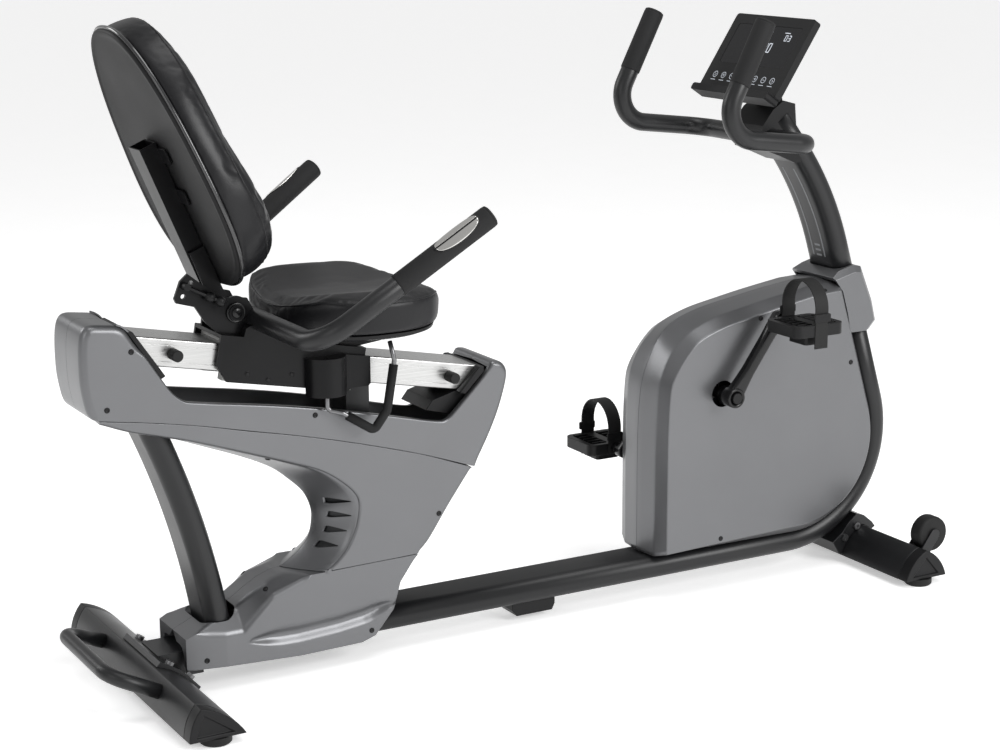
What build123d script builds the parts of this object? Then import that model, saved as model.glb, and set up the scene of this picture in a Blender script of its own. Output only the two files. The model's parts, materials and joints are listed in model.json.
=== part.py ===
from build123d import *
import math
import os

# Recumbent exercise bike. Millimetres. +X runs from the seat towards the
# console, +Y is the rider's left, +Z is up, and the floor is z = 0.
# Stations along X are measured from the middle between the two stabilizers,
# and MID puts the origin at the middle of the overall length.

os.makedirs("parts", exist_ok=True)

# ---------------------------------------------------------------- dimensions
MID = 12.25                 # shift from the mid-feet station to the origin

TUBE_W, TUBE_T, TUBE_WALL = 100.0, 44.0, 2.5      # flat-oval main tube
BEAM_Z = 58.0               # centre height of the floor beam
BEND_R = 204.0              # centreline radius of the front bend
BEND_X, BEND_Z = 573.0, 262.0
MAST_LEAN = 17.0            # degrees from vertical
MAST_JOINT_Z = 545.0

RAIL_ANGLE = 11.0           # the seat rail falls forward
RAIL_X, RAIL_Z = -420.0, 527.6    # rail centre
RAIL_W, RAIL_H = 96.0, 46.0
RAIL_BACK, RAIL_FRONT = -372.0, 312.0

CRANK_X, CRANK_Z = 383.0, 384.0
CRANK_LEN = 170.0
CRANK_ANGLE = 54.3          # right arm, degrees above the forward horizontal
AXLE_R = 10.0
RUN = 0.05                  # radial running clearance

FLY_X, FLY_Z, FLY_R = 560.0, 250.0, 115.0
PULLEY_R, PINION_R = 104.0, 13.0

PIVOT_X, PIVOT_Z = -557.0, 630.0     # backrest pivot
LEAN = 21.6                 # backrest upright lean, degrees

SEAT_X, SEAT_A, SEAT_B = -348.0, 142.0, 195.0
COVER_HALF = 70.0           # half width of the rear shroud
SHELL_T = 3.0

GRIP_R, BAR_R = 18.5, 17.0


def at(x, y, z):
    return (x + MID, y, z)


def side(y=0.0):
    """Side-view plane at station y; its normal points to the rider's right."""
    return Plane(origin=(MID, y, 0), x_dir=(1, 0, 0), z_dir=(0, -1, 0))


def plan(z=0.0):
    return Plane(origin=(MID, 0, z), x_dir=(1, 0, 0), z_dir=(0, 0, 1))


ca, sa = math.cos(math.radians(RAIL_ANGLE)), math.sin(math.radians(RAIL_ANGLE))


def rail_side(y=0.0):
    return Plane(origin=at(RAIL_X, y, RAIL_Z), x_dir=(ca, 0, -sa), z_dir=(0, -1, 0))


def rail_cross(s=0.0):
    """Cross-section plane of the rail, s millimetres along it."""
    return Plane(
        origin=at(RAIL_X + s * ca, 0, RAIL_Z - s * sa), x_dir=(0, 1, 0), z_dir=(ca, 0, -sa)
    )


def superellipse(a, b, n, count=56):
    pts = []
    for i in range(count):
        t = 2 * math.pi * i / count
        c, s = math.cos(t), math.sin(t)
        pts.append(
            (
                a * math.copysign(abs(c) ** (2 / n), c),
                b * math.copysign(abs(s) ** (2 / n), s),
            )
        )
    return pts


def xyz(*pts):
    return [at(*p) for p in pts]


# ---------------------------------------------------------------- main frame
lean = math.radians(MAST_LEAN)
dx, dz = -math.sin(lean), math.cos(lean)
corner_x = BEND_X + BEND_R * math.tan(math.radians(45 + MAST_LEAN / 2))


def mast_x(z):
    """Centreline station of the straight leaning run at height z."""
    return corner_x + (z - BEAM_Z) * dx / dz


with BuildPart() as main_frame_tube:
    with BuildLine(side()) as frame_path:
        FilletPolyline(
            (-636, BEAM_Z), (corner_x, BEAM_Z), (mast_x(MAST_JOINT_Z), MAST_JOINT_Z), radius=BEND_R
        )
    with BuildSketch(Plane(origin=at(-636, 0, BEAM_Z), x_dir=(0, 1, 0), z_dir=(1, 0, 0))):
        SlotOverall(TUBE_W, TUBE_T)
        SlotOverall(TUBE_W - 2 * TUBE_WALL, TUBE_T - 2 * TUBE_WALL, mode=Mode.SUBTRACT)
    sweep(path=frame_path.wires()[0])
main_frame_tube.part.label = "main_frame_tube"
export_step(main_frame_tube.part, "parts/main_frame_tube.step")

# The mast stands in the frame tube on an inner sleeve and bends back at the top.
MAST_TOP = (528.9, 880.0)
MAST_BEND = (641.2, 736.3)
with BuildPart() as console_mast:
    with BuildLine(side()) as mast_path:
        FilletPolyline((mast_x(546), 546), MAST_BEND, MAST_TOP, radius=600)
    with BuildSketch(Plane(origin=at(mast_x(546), 0, 546), x_dir=(0, 1, 0), z_dir=(dx, 0, dz))):
        SlotOverall(TUBE_W, TUBE_T)
        SlotOverall(TUBE_W - 2 * TUBE_WALL, TUBE_T - 2 * TUBE_WALL, mode=Mode.SUBTRACT)
    sweep(path=mast_path.wires()[0])
    with BuildSketch(Plane(origin=at(mast_x(470), 0, 470), x_dir=(0, 1, 0), z_dir=(dx, 0, dz))):
        SlotOverall(TUBE_W - 2 * TUBE_WALL - 0.4, TUBE_T - 2 * TUBE_WALL - 0.4)
        SlotOverall(TUBE_W - 2 * TUBE_WALL - 5.4, TUBE_T - 2 * TUBE_WALL - 5.4, mode=Mode.SUBTRACT)
    extrude(amount=(546 - 470) / dz)
    with BuildSketch(Plane(origin=at(mast_x(546), 0, 546), x_dir=(0, 1, 0), z_dir=(dx, 0, dz))):
        SlotOverall(TUBE_W - 1, TUBE_T - 1)
        SlotOverall(TUBE_W - 2 * TUBE_WALL - 5.4, TUBE_T - 2 * TUBE_WALL - 5.4, mode=Mode.SUBTRACT)
    extrude(amount=3)
console_mast.part.label = "console_mast"
export_step(console_mast.part, "parts/console_mast.step")

# The rear post carries the rail; its top ends in a plate against the rail.
with BuildPart() as rear_post:
    with BuildLine(side()) as post_path:
        ThreePointArc((-604, 92), (-646, 285), (-742, 528))
    start = post_path.edges()[0]
    with BuildSketch(Plane(origin=start @ 0, x_dir=(0, 1, 0), z_dir=start % 0)):
        SlotOverall(TUBE_W, TUBE_T)
        SlotOverall(TUBE_W - 2 * TUBE_WALL, TUBE_T - 2 * TUBE_WALL, mode=Mode.SUBTRACT)
    sweep(path=post_path.wires()[0])
    with BuildSketch(rail_side(43)):
        with BuildLine():
            Polyline(
                (-366, -RAIL_H / 2), (-286, -RAIL_H / 2), (-292, -RAIL_H / 2 - 34),
                (-356, -RAIL_H / 2 - 34), close=True,
            )
        make_face()
    extrude(amount=86)
    with BuildSketch(Plane(origin=at(-604, 0, 80.4), x_dir=(0, 1, 0), z_dir=(0, 0, 1))):
        RectangleRounded(96, 60, 8)
    extrude(amount=4)
    with BuildSketch(Plane(origin=at(-604, 0, 80.4), x_dir=(0, 1, 0), z_dir=(0, 0, 1))):
        SlotOverall(TUBE_W - 2, TUBE_T - 2)
        SlotOverall(TUBE_W - 8, TUBE_T - 8, mode=Mode.SUBTRACT)
    extrude(amount=22)
rear_post.part.label = "rear_post"
export_step(rear_post.part, "parts/rear_post.step")

# Hidden upright inside the shroud, under the front half of the rail.
with BuildPart() as front_upright:
    with BuildSketch(side(30)):
        with BuildLine():
            Polyline(
                (-366, 80.4), (-312, 80.4), (-316, 100), (-316, RAIL_Z - (-316 - RAIL_X) * sa / ca - RAIL_H / 2 / ca),
                (-360, RAIL_Z - (-360 - RAIL_X) * sa / ca - RAIL_H / 2 / ca), (-360, 100), close=True,
            )
        make_face()
    extrude(amount=60)
    with BuildSketch(side(27)):
        with BuildLine():
            Polyline((-357, 84), (-319, 84), (-319, 460), (-357, 460), close=True)
        make_face()
    extrude(amount=54, mode=Mode.SUBTRACT)
front_upright.part.label = "rail_front_upright"
export_step(front_upright.part, "parts/rail_front_upright.step")

# ---------------------------------------------------------------- rear stabilizer
REAR_APEX = (-738.0, 68.5)
REAR_BACK = (-759.0, 14.0)
REAR_FRONT = (-663.0, 14.0)
STAB_END, CAP_END = 262.0, 288.0

with BuildPart() as rear_stabilizer:
    with BuildSketch(side(STAB_END)) as rs:
        with BuildLine():
            Line(REAR_BACK, REAR_FRONT)
            ThreePointArc(REAR_FRONT, (-695, 48.5), REAR_APEX)
            ThreePointArc(REAR_APEX, (-753.5, 43), REAR_BACK)
        make_face()
        offset(amount=-2.5, kind=Kind.INTERSECTION, mode=Mode.SUBTRACT)
    extrude(amount=2 * STAB_END)
rear_stabilizer.part.label = "rear_stabilizer"
export_step(rear_stabilizer.part, "parts/rear_stabilizer.step")

FRONT_APEX = (739.0, 69.5)
FRONT_BACK = (691.0, 14.0)
FRONT_FRONT = (788.0, 14.0)
F_STAB_END, F_CAP_END = 222.0, 248.0
with BuildPart() as front_stabilizer:
    with BuildSketch(side(F_STAB_END)):
        with BuildLine():
            Line(FRONT_BACK, FRONT_FRONT)
            ThreePointArc(FRONT_FRONT, (770, 48), FRONT_APEX)
            ThreePointArc(FRONT_APEX, (709, 48), FRONT_BACK)
        make_face()
        offset(amount=-2.5, kind=Kind.INTERSECTION, mode=Mode.SUBTRACT)
    extrude(amount=2 * F_STAB_END)
front_stabilizer.part.label = "front_stabilizer"
export_step(front_stabilizer.part, "parts/front_stabilizer.step")

# Moulded end caps, two rear and two front, each with a shallow triangular recess.
with BuildPart() as stabilizer_end_caps:
    for sgn in (1, -1):
        y0 = -STAB_END - 0.2 if sgn > 0 else CAP_END
        with BuildSketch(side(y0)):
            with BuildLine():
                Line(REAR_BACK, REAR_FRONT)
                ThreePointArc(REAR_FRONT, (-695, 48.5), REAR_APEX)
                ThreePointArc(REAR_APEX, (-753.5, 43), REAR_BACK)
            make_face()
        extrude(amount=CAP_END - STAB_END - 0.2)
        yr = -CAP_END + 4 if sgn > 0 else CAP_END
        with BuildSketch(side(yr)):
            with BuildLine():
                Polyline((-746, 21), (-684, 21), (-733, 56), close=True)
            make_face()
        extrude(amount=4, mode=Mode.SUBTRACT)
        y1 = -F_STAB_END - 0.2 if sgn > 0 else F_CAP_END
        with BuildSketch(side(y1)):
            with BuildLine():
                Line(FRONT_BACK, FRONT_FRONT)
                ThreePointArc(FRONT_FRONT, (770, 48), FRONT_APEX)
                ThreePointArc(FRONT_APEX, (709, 48), FRONT_BACK)
            make_face()
        extrude(amount=F_CAP_END - F_STAB_END - 0.2)
        yq = -F_CAP_END + 4 if sgn > 0 else F_CAP_END
        with BuildSketch(side(yq)):
            with BuildLine():
                Polyline((709, 21), (769, 21), (739, 55), close=True)
            make_face()
        extrude(amount=4, mode=Mode.SUBTRACT)
stabilizer_end_caps.part.label = "stabilizer_end_caps"
export_step(stabilizer_end_caps.part, "parts/stabilizer_end_caps.step")

# Four rubber levelling feet under the stabilizer ends.
with BuildPart() as levelling_feet:
    with BuildSketch(Plane.XY):
        with Locations(
            (-707 + MID, 264), (-707 + MID, -264), (736 + MID, 228), (736 + MID, -228)
        ):
            Circle(26)
    extrude(amount=13.9)
    chamfer(levelling_feet.edges().group_by(Axis.Z)[0], 3)
levelling_feet.part.label = "levelling_feet"
export_step(levelling_feet.part, "parts/levelling_feet.step")

# Bent carry handle, welded to the back of the rear stabilizer.
with BuildPart() as rear_carry_handle:
    with BuildLine() as handle_path:
        FilletPolyline(
            *xyz((-752.5, -134, 49), (-826, -114, 82), (-826, 114, 82), (-752.5, 134, 49)),
            radius=38,
        )
    he = handle_path.edges().sort_by(Axis.Y)[0]
    hs = Vector(*at(-752.5, -134, 49))
    hd = (Vector(*at(-826, -114, 82)) - hs).normalized()
    with BuildSketch(Plane(origin=hs, z_dir=hd)):
        Circle(12.5)
        Circle(10.5, mode=Mode.SUBTRACT)
    sweep(path=handle_path.wires()[0])
    with BuildSketch(side(200)):
        with BuildLine():
            Line((-759.2, 12), (-640, 12))
            Line((-640, 12), (-640, 90))
            Line((-640, 90), (-738.2, 90))
            Line((-738.2, 90), (-738.2, 68.7))
            ThreePointArc((-738.2, 68.7), (-753.7, 43), (-759.2, 12))
        make_face()
    extrude(amount=400, mode=Mode.SUBTRACT)
rear_carry_handle.part.label = "rear_carry_handle"
export_step(rear_carry_handle.part, "parts/rear_carry_handle.step")

# Box link from the beam to the rear stabilizer, with its flange plate.
with BuildPart() as rear_link_bracket:
    with BuildSketch(side(40)):
        with BuildLine():
            Polyline((-708, 60), (-663, 27), (-637, 27), (-637, 70.5), (-716, 70.5), close=True)
        make_face()
    extrude(amount=80)
    with BuildSketch(side(37)):
        with BuildLine():
            Polyline((-690, 30), (-630, 30), (-630, 67.5), (-700, 67.5), close=True)
        make_face()
    extrude(amount=74, mode=Mode.SUBTRACT)
    with BuildSketch(side(80)):
        with BuildLine():
            Polyline((-733, 68), (-700, 40), (-664, 12), (-658, 19), (-690, 54), (-726, 75), close=True)
        make_face()
    extrude(amount=160)
    with BuildSketch(side(100)):
        with BuildLine():
            Line((-780, 0), (-662.6, 0))
            Line((-662.6, 0), (-662.6, 14))
            ThreePointArc((-662.6, 14), (-694.7, 48.8), (-738, 68.9))
            Line((-738, 68.9), (-780, 68.9))
            Line((-780, 68.9), (-780, 0))
        make_face()
    extrude(amount=200, mode=Mode.SUBTRACT)
rear_link_bracket.part.label = "rear_link_bracket"
export_step(rear_link_bracket.part, "parts/rear_link_bracket.step")

# Saddle between the front bend and the front stabilizer.
with BuildPart() as front_link_bracket:
    with BuildSketch(side(54)):
        with BuildLine():
            Polyline(
                (668, 44), (684, 18), (700, 18), (739, 60), (752, 50), (772, 62), (764, 72), (744, 88),
                (720, 96), (690, 60),
                close=True,
            )
        make_face()
    extrude(amount=108)
    with BuildSketch(side(60)):
        with Locations((BEND_X, BEND_Z)):
            Circle(BEND_R + TUBE_T / 2 + 0.4)
    extrude(amount=120, mode=Mode.SUBTRACT)
    with BuildSketch(side(60)):
        with BuildLine():
            Line((690.4, 5), (788.6, 5))
            Line((788.6, 5), (788.6, 14))
            ThreePointArc((788.6, 14), (770.3, 48.4), (739, 70))
            ThreePointArc((739, 70), (708.7, 48.4), (690.4, 14))
            Line((690.4, 14), (690.4, 5))
        make_face()
    extrude(amount=120, mode=Mode.SUBTRACT)
front_link_bracket.part.label = "front_link_bracket"
export_step(front_link_bracket.part, "parts/front_link_bracket.step")

# Eight hex-socket bolts, four on each stabilizer joint.
with BuildPart() as stabilizer_bolts:
    for y in (-70, 70):
        for x, z, t in ((-708, 64.5, 30.3), (-674, 36.5, 47.6)):
            nrm = Vector(math.sin(math.radians(t)), 0, math.cos(math.radians(t)))
            base = Vector(*at(x, y, z)) + nrm * 0.05
            with BuildSketch(Plane(origin=base, z_dir=nrm)):
                Circle(7.5)
            extrude(amount=6)
            with BuildSketch(Plane(origin=base + nrm * 6, z_dir=nrm)):
                RegularPolygon(3.4, 6)
            extrude(amount=-3, mode=Mode.SUBTRACT)
    for y, s in ((-54.1, 1), (59.1, -1)):
        with BuildSketch(side(y)):
            with Locations((724, 70), (695.5, 50.5)):
                Circle(7)
        extrude(amount=5)
        with BuildSketch(side(-59.1 if s > 0 else 59.1)):
            with Locations((724, 70), (695.5, 50.5)):
                RegularPolygon(3.4, 6)
        extrude(amount=-2.5 * s, mode=Mode.SUBTRACT)
stabilizer_bolts.part.label = "stabilizer_bolts"
export_step(stabilizer_bolts.part, "parts/stabilizer_bolts.step")

# Moulded stop block under the middle of the beam.
with BuildPart() as centre_foot:
    with BuildSketch(side(27)):
        with BuildLine():
            Polyline((-38, 36), (-38, 22), (-28, 10), (46, 10), (52, 22), (52, 36), close=True)
        make_face()
    extrude(amount=54)
    fillet(centre_foot.edges().filter_by(Axis.Y).group_by(Axis.Z)[0], 3)
centre_foot.part.label = "centre_foot"
export_step(centre_foot.part, "parts/centre_foot.step")

# ---------------------------------------------------------------- seat rail
with BuildPart() as seat_rail:
    with BuildSketch(rail_cross(RAIL_BACK)):
        RectangleRounded(RAIL_W, RAIL_H, 3)
        with Locations((-23, 0), (23, 0)):
            RectangleRounded(40, RAIL_H - 8, 3, mode=Mode.SUBTRACT)
        with Locations(
            (-RAIL_W / 2, 13), (RAIL_W / 2, 13), (-RAIL_W / 2, -13), (RAIL_W / 2, -13)
        ):
            Rectangle(2.4, 2.0, mode=Mode.SUBTRACT)
    extrude(amount=RAIL_FRONT - RAIL_BACK)
seat_rail.part.label = "seat_rail"
export_step(seat_rail.part, "parts/seat_rail.step")

# Rubber-capped studs that stop the carriage at each end of its travel.
STOP_BACK, STOP_FRONT = -255.7, 251.6
with BuildPart() as rail_stop_bumpers:
    for y in (-RAIL_W / 2 - 0.1, RAIL_W / 2 + 26.1):
        with BuildSketch(rail_side(y)):
            with Locations((STOP_BACK, 0), (STOP_FRONT, 0)):
                Circle(9.5)
        extrude(amount=26)
    fillet(rail_stop_bumpers.edges().filter_by(GeomType.CIRCLE), 2)
rail_stop_bumpers.part.label = "rail_stop_bumpers"
export_step(rail_stop_bumpers.part, "parts/rail_stop_bumpers.step")

# ---------------------------------------------------------------- rear shroud
# Side outlines, as (station, height). Each half is a 3 mm shell that is open
# towards the centre plane, along the cutaway and along its lower seam.
MID_SEAM = [(-806, 487), (-722, 474), (-638, 458), (-553, 438), (-464, 418), (-374, 395), (-281, 368),
            (-224, 350), (-136, 318)]
RAIL_COVER_REAR = [(-812, 487), (-821, 497), (-827, 526), (-830, 551), (-830, 592), (-828, 616),
                   (-824, 631), (-814, 641)]
RAIL_COVER_TOP = [(-757, 634), (-700, 545), (-683, 518), (-663, 501), (-648, 497), (-462, 468),
                  (-297, 430), (-202, 406), (-187, 408), (-172, 421), (-104, 486), (-100, 501)]
RAIL_COVER_FRONT = [(-80, 499), (-68, 486), (-67, 466), (-84, 412), (-105, 367), (-131, 322)]

with BuildPart() as rail_cover_right:
    with BuildSketch(side(-0.15)):
        with BuildLine():
            Polyline(
                *(RAIL_COVER_REAR + RAIL_COVER_TOP + RAIL_COVER_FRONT + MID_SEAM[::-1]), close=True
            )
        make_face()
    extrude(amount=COVER_HALF - 0.15)
    end_edges = (
        rail_cover_right.faces().sort_by(Axis.Y)[0].edges()
        .filter_by(lambda e: e.center().X < -757 + MID or e.center().X > -100 + MID)
        .filter_by(lambda e: e.center().Z > 500 or e.center().X > -100 + MID)
    )
    chamfer(end_edges, 9)
    with BuildSketch(side(5)):
        with BuildLine():
            Polyline(
                (-806, 400), (-808, 489), (-817, 499), (-823, 526), (-826, 551), (-826, 592), (-824, 615),
                (-820, 629), (-812, 637), (-757, 630.5), (-740, 700), (-103, 700), (-100, 497.2), (-82, 495.4),
                (-72, 484), (-71, 466), (-88, 412), (-109, 368), (-132, 326), (-136, 200), close=True,
            )
        make_face()
    extrude(amount=COVER_HALF - 12 + 5, mode=Mode.SUBTRACT)
    with BuildSketch(side(-COVER_HALF + 13)):
        with BuildLine():
            Polyline(
                (-797, 400), (-799, 489), (-808, 501), (-813, 528), (-816, 551), (-816, 592), (-814, 612),
                (-810, 623), (-803, 627), (-757, 624), (-740, 700), (-112, 700), (-112, 490), (-93, 487),
                (-82, 479), (-81, 466), (-98, 412), (-119, 368), (-142, 326), (-146, 200), close=True,
            )
        make_face()
    extrude(amount=10, mode=Mode.SUBTRACT)
rail_cover_right.part.label = "rail_cover_right"
export_step(rail_cover_right.part, "parts/rail_cover_right.step")

with BuildPart() as rail_cover_left:
    add(mirror(rail_cover_right.part, about=Plane.XZ, mode=Mode.PRIVATE))
rail_cover_left.part.label = "rail_cover_left"
export_step(rail_cover_left.part, "parts/rail_cover_left.step")

# Neck cover: the C-shaped scoop behind it runs back to a ridge at the centre.
NECK_SIDE = [(-804, 481), (-756, 462), (-706, 448), (-656, 434), (-606, 417), (-554, 399), (-484, 374),
             (-430, 353), (-394, 330), (-367, 305), (-358, 283), (-363, 248), (-378, 215), (-398, 192),
             (-417, 178), (-424, 175)]
NECK_RIDGE = [(-800, 481), (-740, 456), (-700, 440), (-660, 424), (-612, 405), (-542, 377), (-489, 351),
              (-454, 323), (-430, 298), (-418, 270), (-417, 247), (-423, 221), (-439, 200), (-458, 185),
              (-472, 177), (-478, 175)]
NECK_FRONT = [(-248, 178), (-225, 200), (-185, 257), (-140, 317)]


def below(points, gap):
    return [(x, z - gap) for x, z in points]


with BuildPart() as neck_cover_right:
    with BuildSketch(side(-0.15)):
        with BuildLine():
            Polyline(
                *(NECK_RIDGE + NECK_FRONT + below(MID_SEAM, 1.0)[1:-1][::-1] + [(-800, 486)]), close=True
            )
        make_face()
    with BuildSketch(side(-COVER_HALF)):
        with BuildLine():
            Polyline(
                *(NECK_SIDE + NECK_FRONT + below(MID_SEAM, 1.0)[1:-1][::-1] + [(-804, 486)]), close=True
            )
        make_face()
    loft(ruled=True)
    with BuildSketch(side(1)):
        with BuildLine():
            Polyline(
                *([(-800, 495)] + [(x + 4.0, z + 5.0) for x, z in NECK_RIDGE[1:9]]
                  + [(x + 5, z) for x, z in NECK_RIDGE[9:13]] + [(-455, 190), (-470, 182), (-474, 160)]
                  + [(-246, 160), (-229, 202), (-189, 259), (-150, 312), (-150, 420), (-700, 560)]),
                close=True,
            )
        make_face()
    with BuildSketch(side(-COVER_HALF + SHELL_T)):
        with BuildLine():
            Polyline(
                *([(-800, 495)] + [(x + 4.0, z + 5.0) for x, z in NECK_SIDE[1:9]]
                  + [(x + 5, z) for x, z in NECK_SIDE[9:13]] + [(-396, 190), (-413, 182), (-420, 160)]
                  + [(-246, 160), (-229, 202), (-189, 259), (-150, 312), (-150, 420), (-700, 560)]),
                close=True,
            )
        make_face()
    loft(ruled=True, mode=Mode.SUBTRACT)
    # opening for the rear post
    with BuildSketch(plan(360)):
        with Locations((-712, 0)):
            Rectangle(96, TUBE_W + 6)
    extrude(amount=200, mode=Mode.SUBTRACT)
    # four louvres in the scoop
    with BuildSketch(Plane(origin=at(-520, -36, 300), x_dir=(0, 1, 0), z_dir=(1, 0, 0))):
        with Locations((2, -36), (0, -12), (-2, 12), (-4, -60)):
            SlotOverall(38, 9, rotation=14)
    extrude(amount=210, mode=Mode.SUBTRACT)
neck_cover_right.part.label = "neck_cover_right"
export_step(neck_cover_right.part, "parts/neck_cover_right.step")

with BuildPart() as neck_cover_left:
    add(mirror(neck_cover_right.part, about=Plane.XZ, mode=Mode.PRIVATE))
neck_cover_left.part.label = "neck_cover_left"
export_step(neck_cover_left.part, "parts/neck_cover_left.step")

# Base cover: straddles the beam and closes round the foot of the post.
with BuildPart() as base_cover_right:
    with BuildSketch(side(-0.15)):
        with BuildLine():
            Polyline(
                (-674, 97), (-640, 112), (-573, 132), (-542, 152), (-518, 165), (-495, 173), (-479, 174),
                (-424, 174), (-379, 175), (-323, 176), (-249, 177), (-283, 130), (-296, 84),
                (-330, 45), (-358, 36), (-471, 34), (-562, 38), (-607, 40), (-674, 42), close=True,
            )
        make_face()
    extrude(amount=COVER_HALF - 0.15)
    # the nose narrows and drops towards the rear
    with BuildSketch(plan(0)):
        with BuildLine():
            Polyline((-700, -58), (-590, -72), (-700, -72), close=True)
        make_face()
    extrude(amount=200, mode=Mode.SUBTRACT)
    # sloping shoulder that fades out towards the upper seam
    for x, z_in, z_out in ((-770, 134, 54.7), (-574, 134, 54.7), (-521, 166, 130), (-436, 184, 176)):
        with BuildSketch(Plane(origin=at(x, 0, 0), x_dir=(0, 1, 0), z_dir=(1, 0, 0))):
            with BuildLine():
                Polyline((-34, z_in), (-34, 260), (-110, 260), (-110, z_out), close=True)
            make_face()
    loft(ruled=True, mode=Mode.SUBTRACT)
    # hollow inside, open towards the centre, the beam and the seams
    with BuildSketch(side(1)):
        with BuildLine():
            Polyline(
                (-670, 93), (-640, 107), (-573, 127), (-542, 147), (-518, 160), (-494, 168),
                (-478, 200), (-255, 200), (-288, 130), (-300, 84), (-330, 20), (-670, 20), close=True,
            )
        make_face()
    extrude(amount=35, mode=Mode.SUBTRACT)
    with BuildSketch(side(-33)):
        with BuildLine():
            Polyline(
                (-664, 80), (-640, 86), (-573, 100), (-542, 118), (-518, 130), (-470, 150),
                (-440, 200), (-255, 200), (-288, 130), (-300, 84), (-330, 20), (-664, 20), close=True,
            )
        make_face()
    extrude(amount=20, mode=Mode.SUBTRACT)
    with BuildSketch(side(-52)):
        with BuildLine():
            Polyline(
                (-604, 74), (-573, 80), (-500, 110), (-440, 140), (-420, 200), (-255, 200),
                (-288, 130), (-300, 84), (-330, 20), (-604, 20), close=True,
            )
        make_face()
    extrude(amount=COVER_HALF - SHELL_T - 52, mode=Mode.SUBTRACT)
    # hole for the post
    with BuildSketch(plan(70)):
        with Locations((-607, 0)):
            SlotOverall(TUBE_W + 6, TUBE_T + 12, rotation=90)
    extrude(amount=120, mode=Mode.SUBTRACT)
    # the beam, link and their bottom plate pass through
    with BuildSketch(Plane(origin=at(-700, 0, BEAM_Z), x_dir=(0, 1, 0), z_dir=(1, 0, 0))):
        SlotOverall(TUBE_W + 1.2, TUBE_T + 1.2)
    extrude(amount=500, mode=Mode.SUBTRACT)
    with BuildSketch(side(1)):
        with BuildLine():
            Polyline((-680, 25), (-580, 25), (-580, 84.6), (-680, 72), close=True)
        make_face()
    extrude(amount=42, mode=Mode.SUBTRACT)
base_cover_right.part.label = "base_cover_right"
export_step(base_cover_right.part, "parts/base_cover_right.step")

with BuildPart() as base_cover_left:
    add(mirror(base_cover_right.part, about=Plane.XZ, mode=Mode.PRIVATE))
base_cover_left.part.label = "base_cover_left"
export_step(base_cover_left.part, "parts/base_cover_left.step")

# Black closing plates round the rail at both ends of the cutaway.
with BuildPart() as rail_end_trims:
    with BuildSketch(side(COVER_HALF - SHELL_T - 1)):
        with BuildLine():
            Polyline((-751, 623), (-742, 623), (-690, 545), (-698, 541), close=True)
        make_face()
    extrude(amount=2 * (COVER_HALF - SHELL_T - 1))
    with BuildSketch(side(COVER_HALF - SHELL_T - 1)):
        with BuildLine():
            Polyline((-113, 493), (-122, 493), (-160, 452), (-150, 448), (-113, 484), close=True)
        make_face()
    extrude(amount=2 * (COVER_HALF - SHELL_T - 1))
    with BuildSketch(side(48)):
        with BuildLine():
            Polyline((-160, 452), (-205, 440), (-218, 424), (-150, 406), (-142, 444), close=True)
        make_face()
    extrude(amount=96)
    with BuildSketch(rail_cross(-420)):
        Rectangle(RAIL_W + 1, RAIL_H + 1)
    extrude(amount=900, mode=Mode.SUBTRACT)
    with BuildSketch(side(52)):
        with BuildLine():
            Polyline((-800, 582), (-690, 561), (-660, 430), (-800, 430), close=True)
        make_face()
    extrude(amount=104, mode=Mode.SUBTRACT)
rail_end_trims.part.label = "rail_end_trims"
export_step(rail_end_trims.part, "parts/rail_end_trims.step")

# ---------------------------------------------------------------- drive housing
# Three side outlines: crowned centre seam, rim at |y| = 50 and the flat panel.
def tube_inner(gap, z_top):
    """Points down the inside of the frame tube, from height z_top to the beam."""
    r = BEND_R - TUBE_T / 2 - gap
    pts = []
    e = math.radians(MAST_LEAN)
    x0, z0 = BEND_X + r * math.cos(e), BEND_Z + r * math.sin(e)
    pts.append((x0 - (z_top - z0) * math.tan(e), z_top))
    for k in range(13):
        t = e - k * (e + math.radians(90)) / 12
        pts.append((BEND_X + r * math.cos(t), BEND_Z + r * math.sin(t)))
    return pts


SEAM = [(246, 84), (246, 250), (247, 320), (250, 373), (256, 412), (271, 452), (294, 490), (327, 516),
        (382, 533), (450, 545), (519, 556), (600, 566)]
RIM = [(252, 84), (252, 250), (254, 340), (258, 401), (266, 430), (283, 462), (306, 486), (332, 505),
       (385, 524), (450, 537), (519, 549), (600, 561)]
PANEL = [(263, 92), (263, 250), (264, 340), (268, 400), (275, 424), (290, 448), (310, 472), (336, 492),
         (388, 510), (452, 522), (520, 535), (598, 548)]


def drive_face(points, gap, z_top):
    return points + tube_inner(gap, z_top)


def shrink(points, d):
    return [(x + d, z + (d if z < 120 else -d * 0.9)) for x, z in points]


COLLAR_CUT = [(641, 600), (641, 573), (662, 546), (676, 500), (683, 462), (760, 462), (760, 600)]

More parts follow.
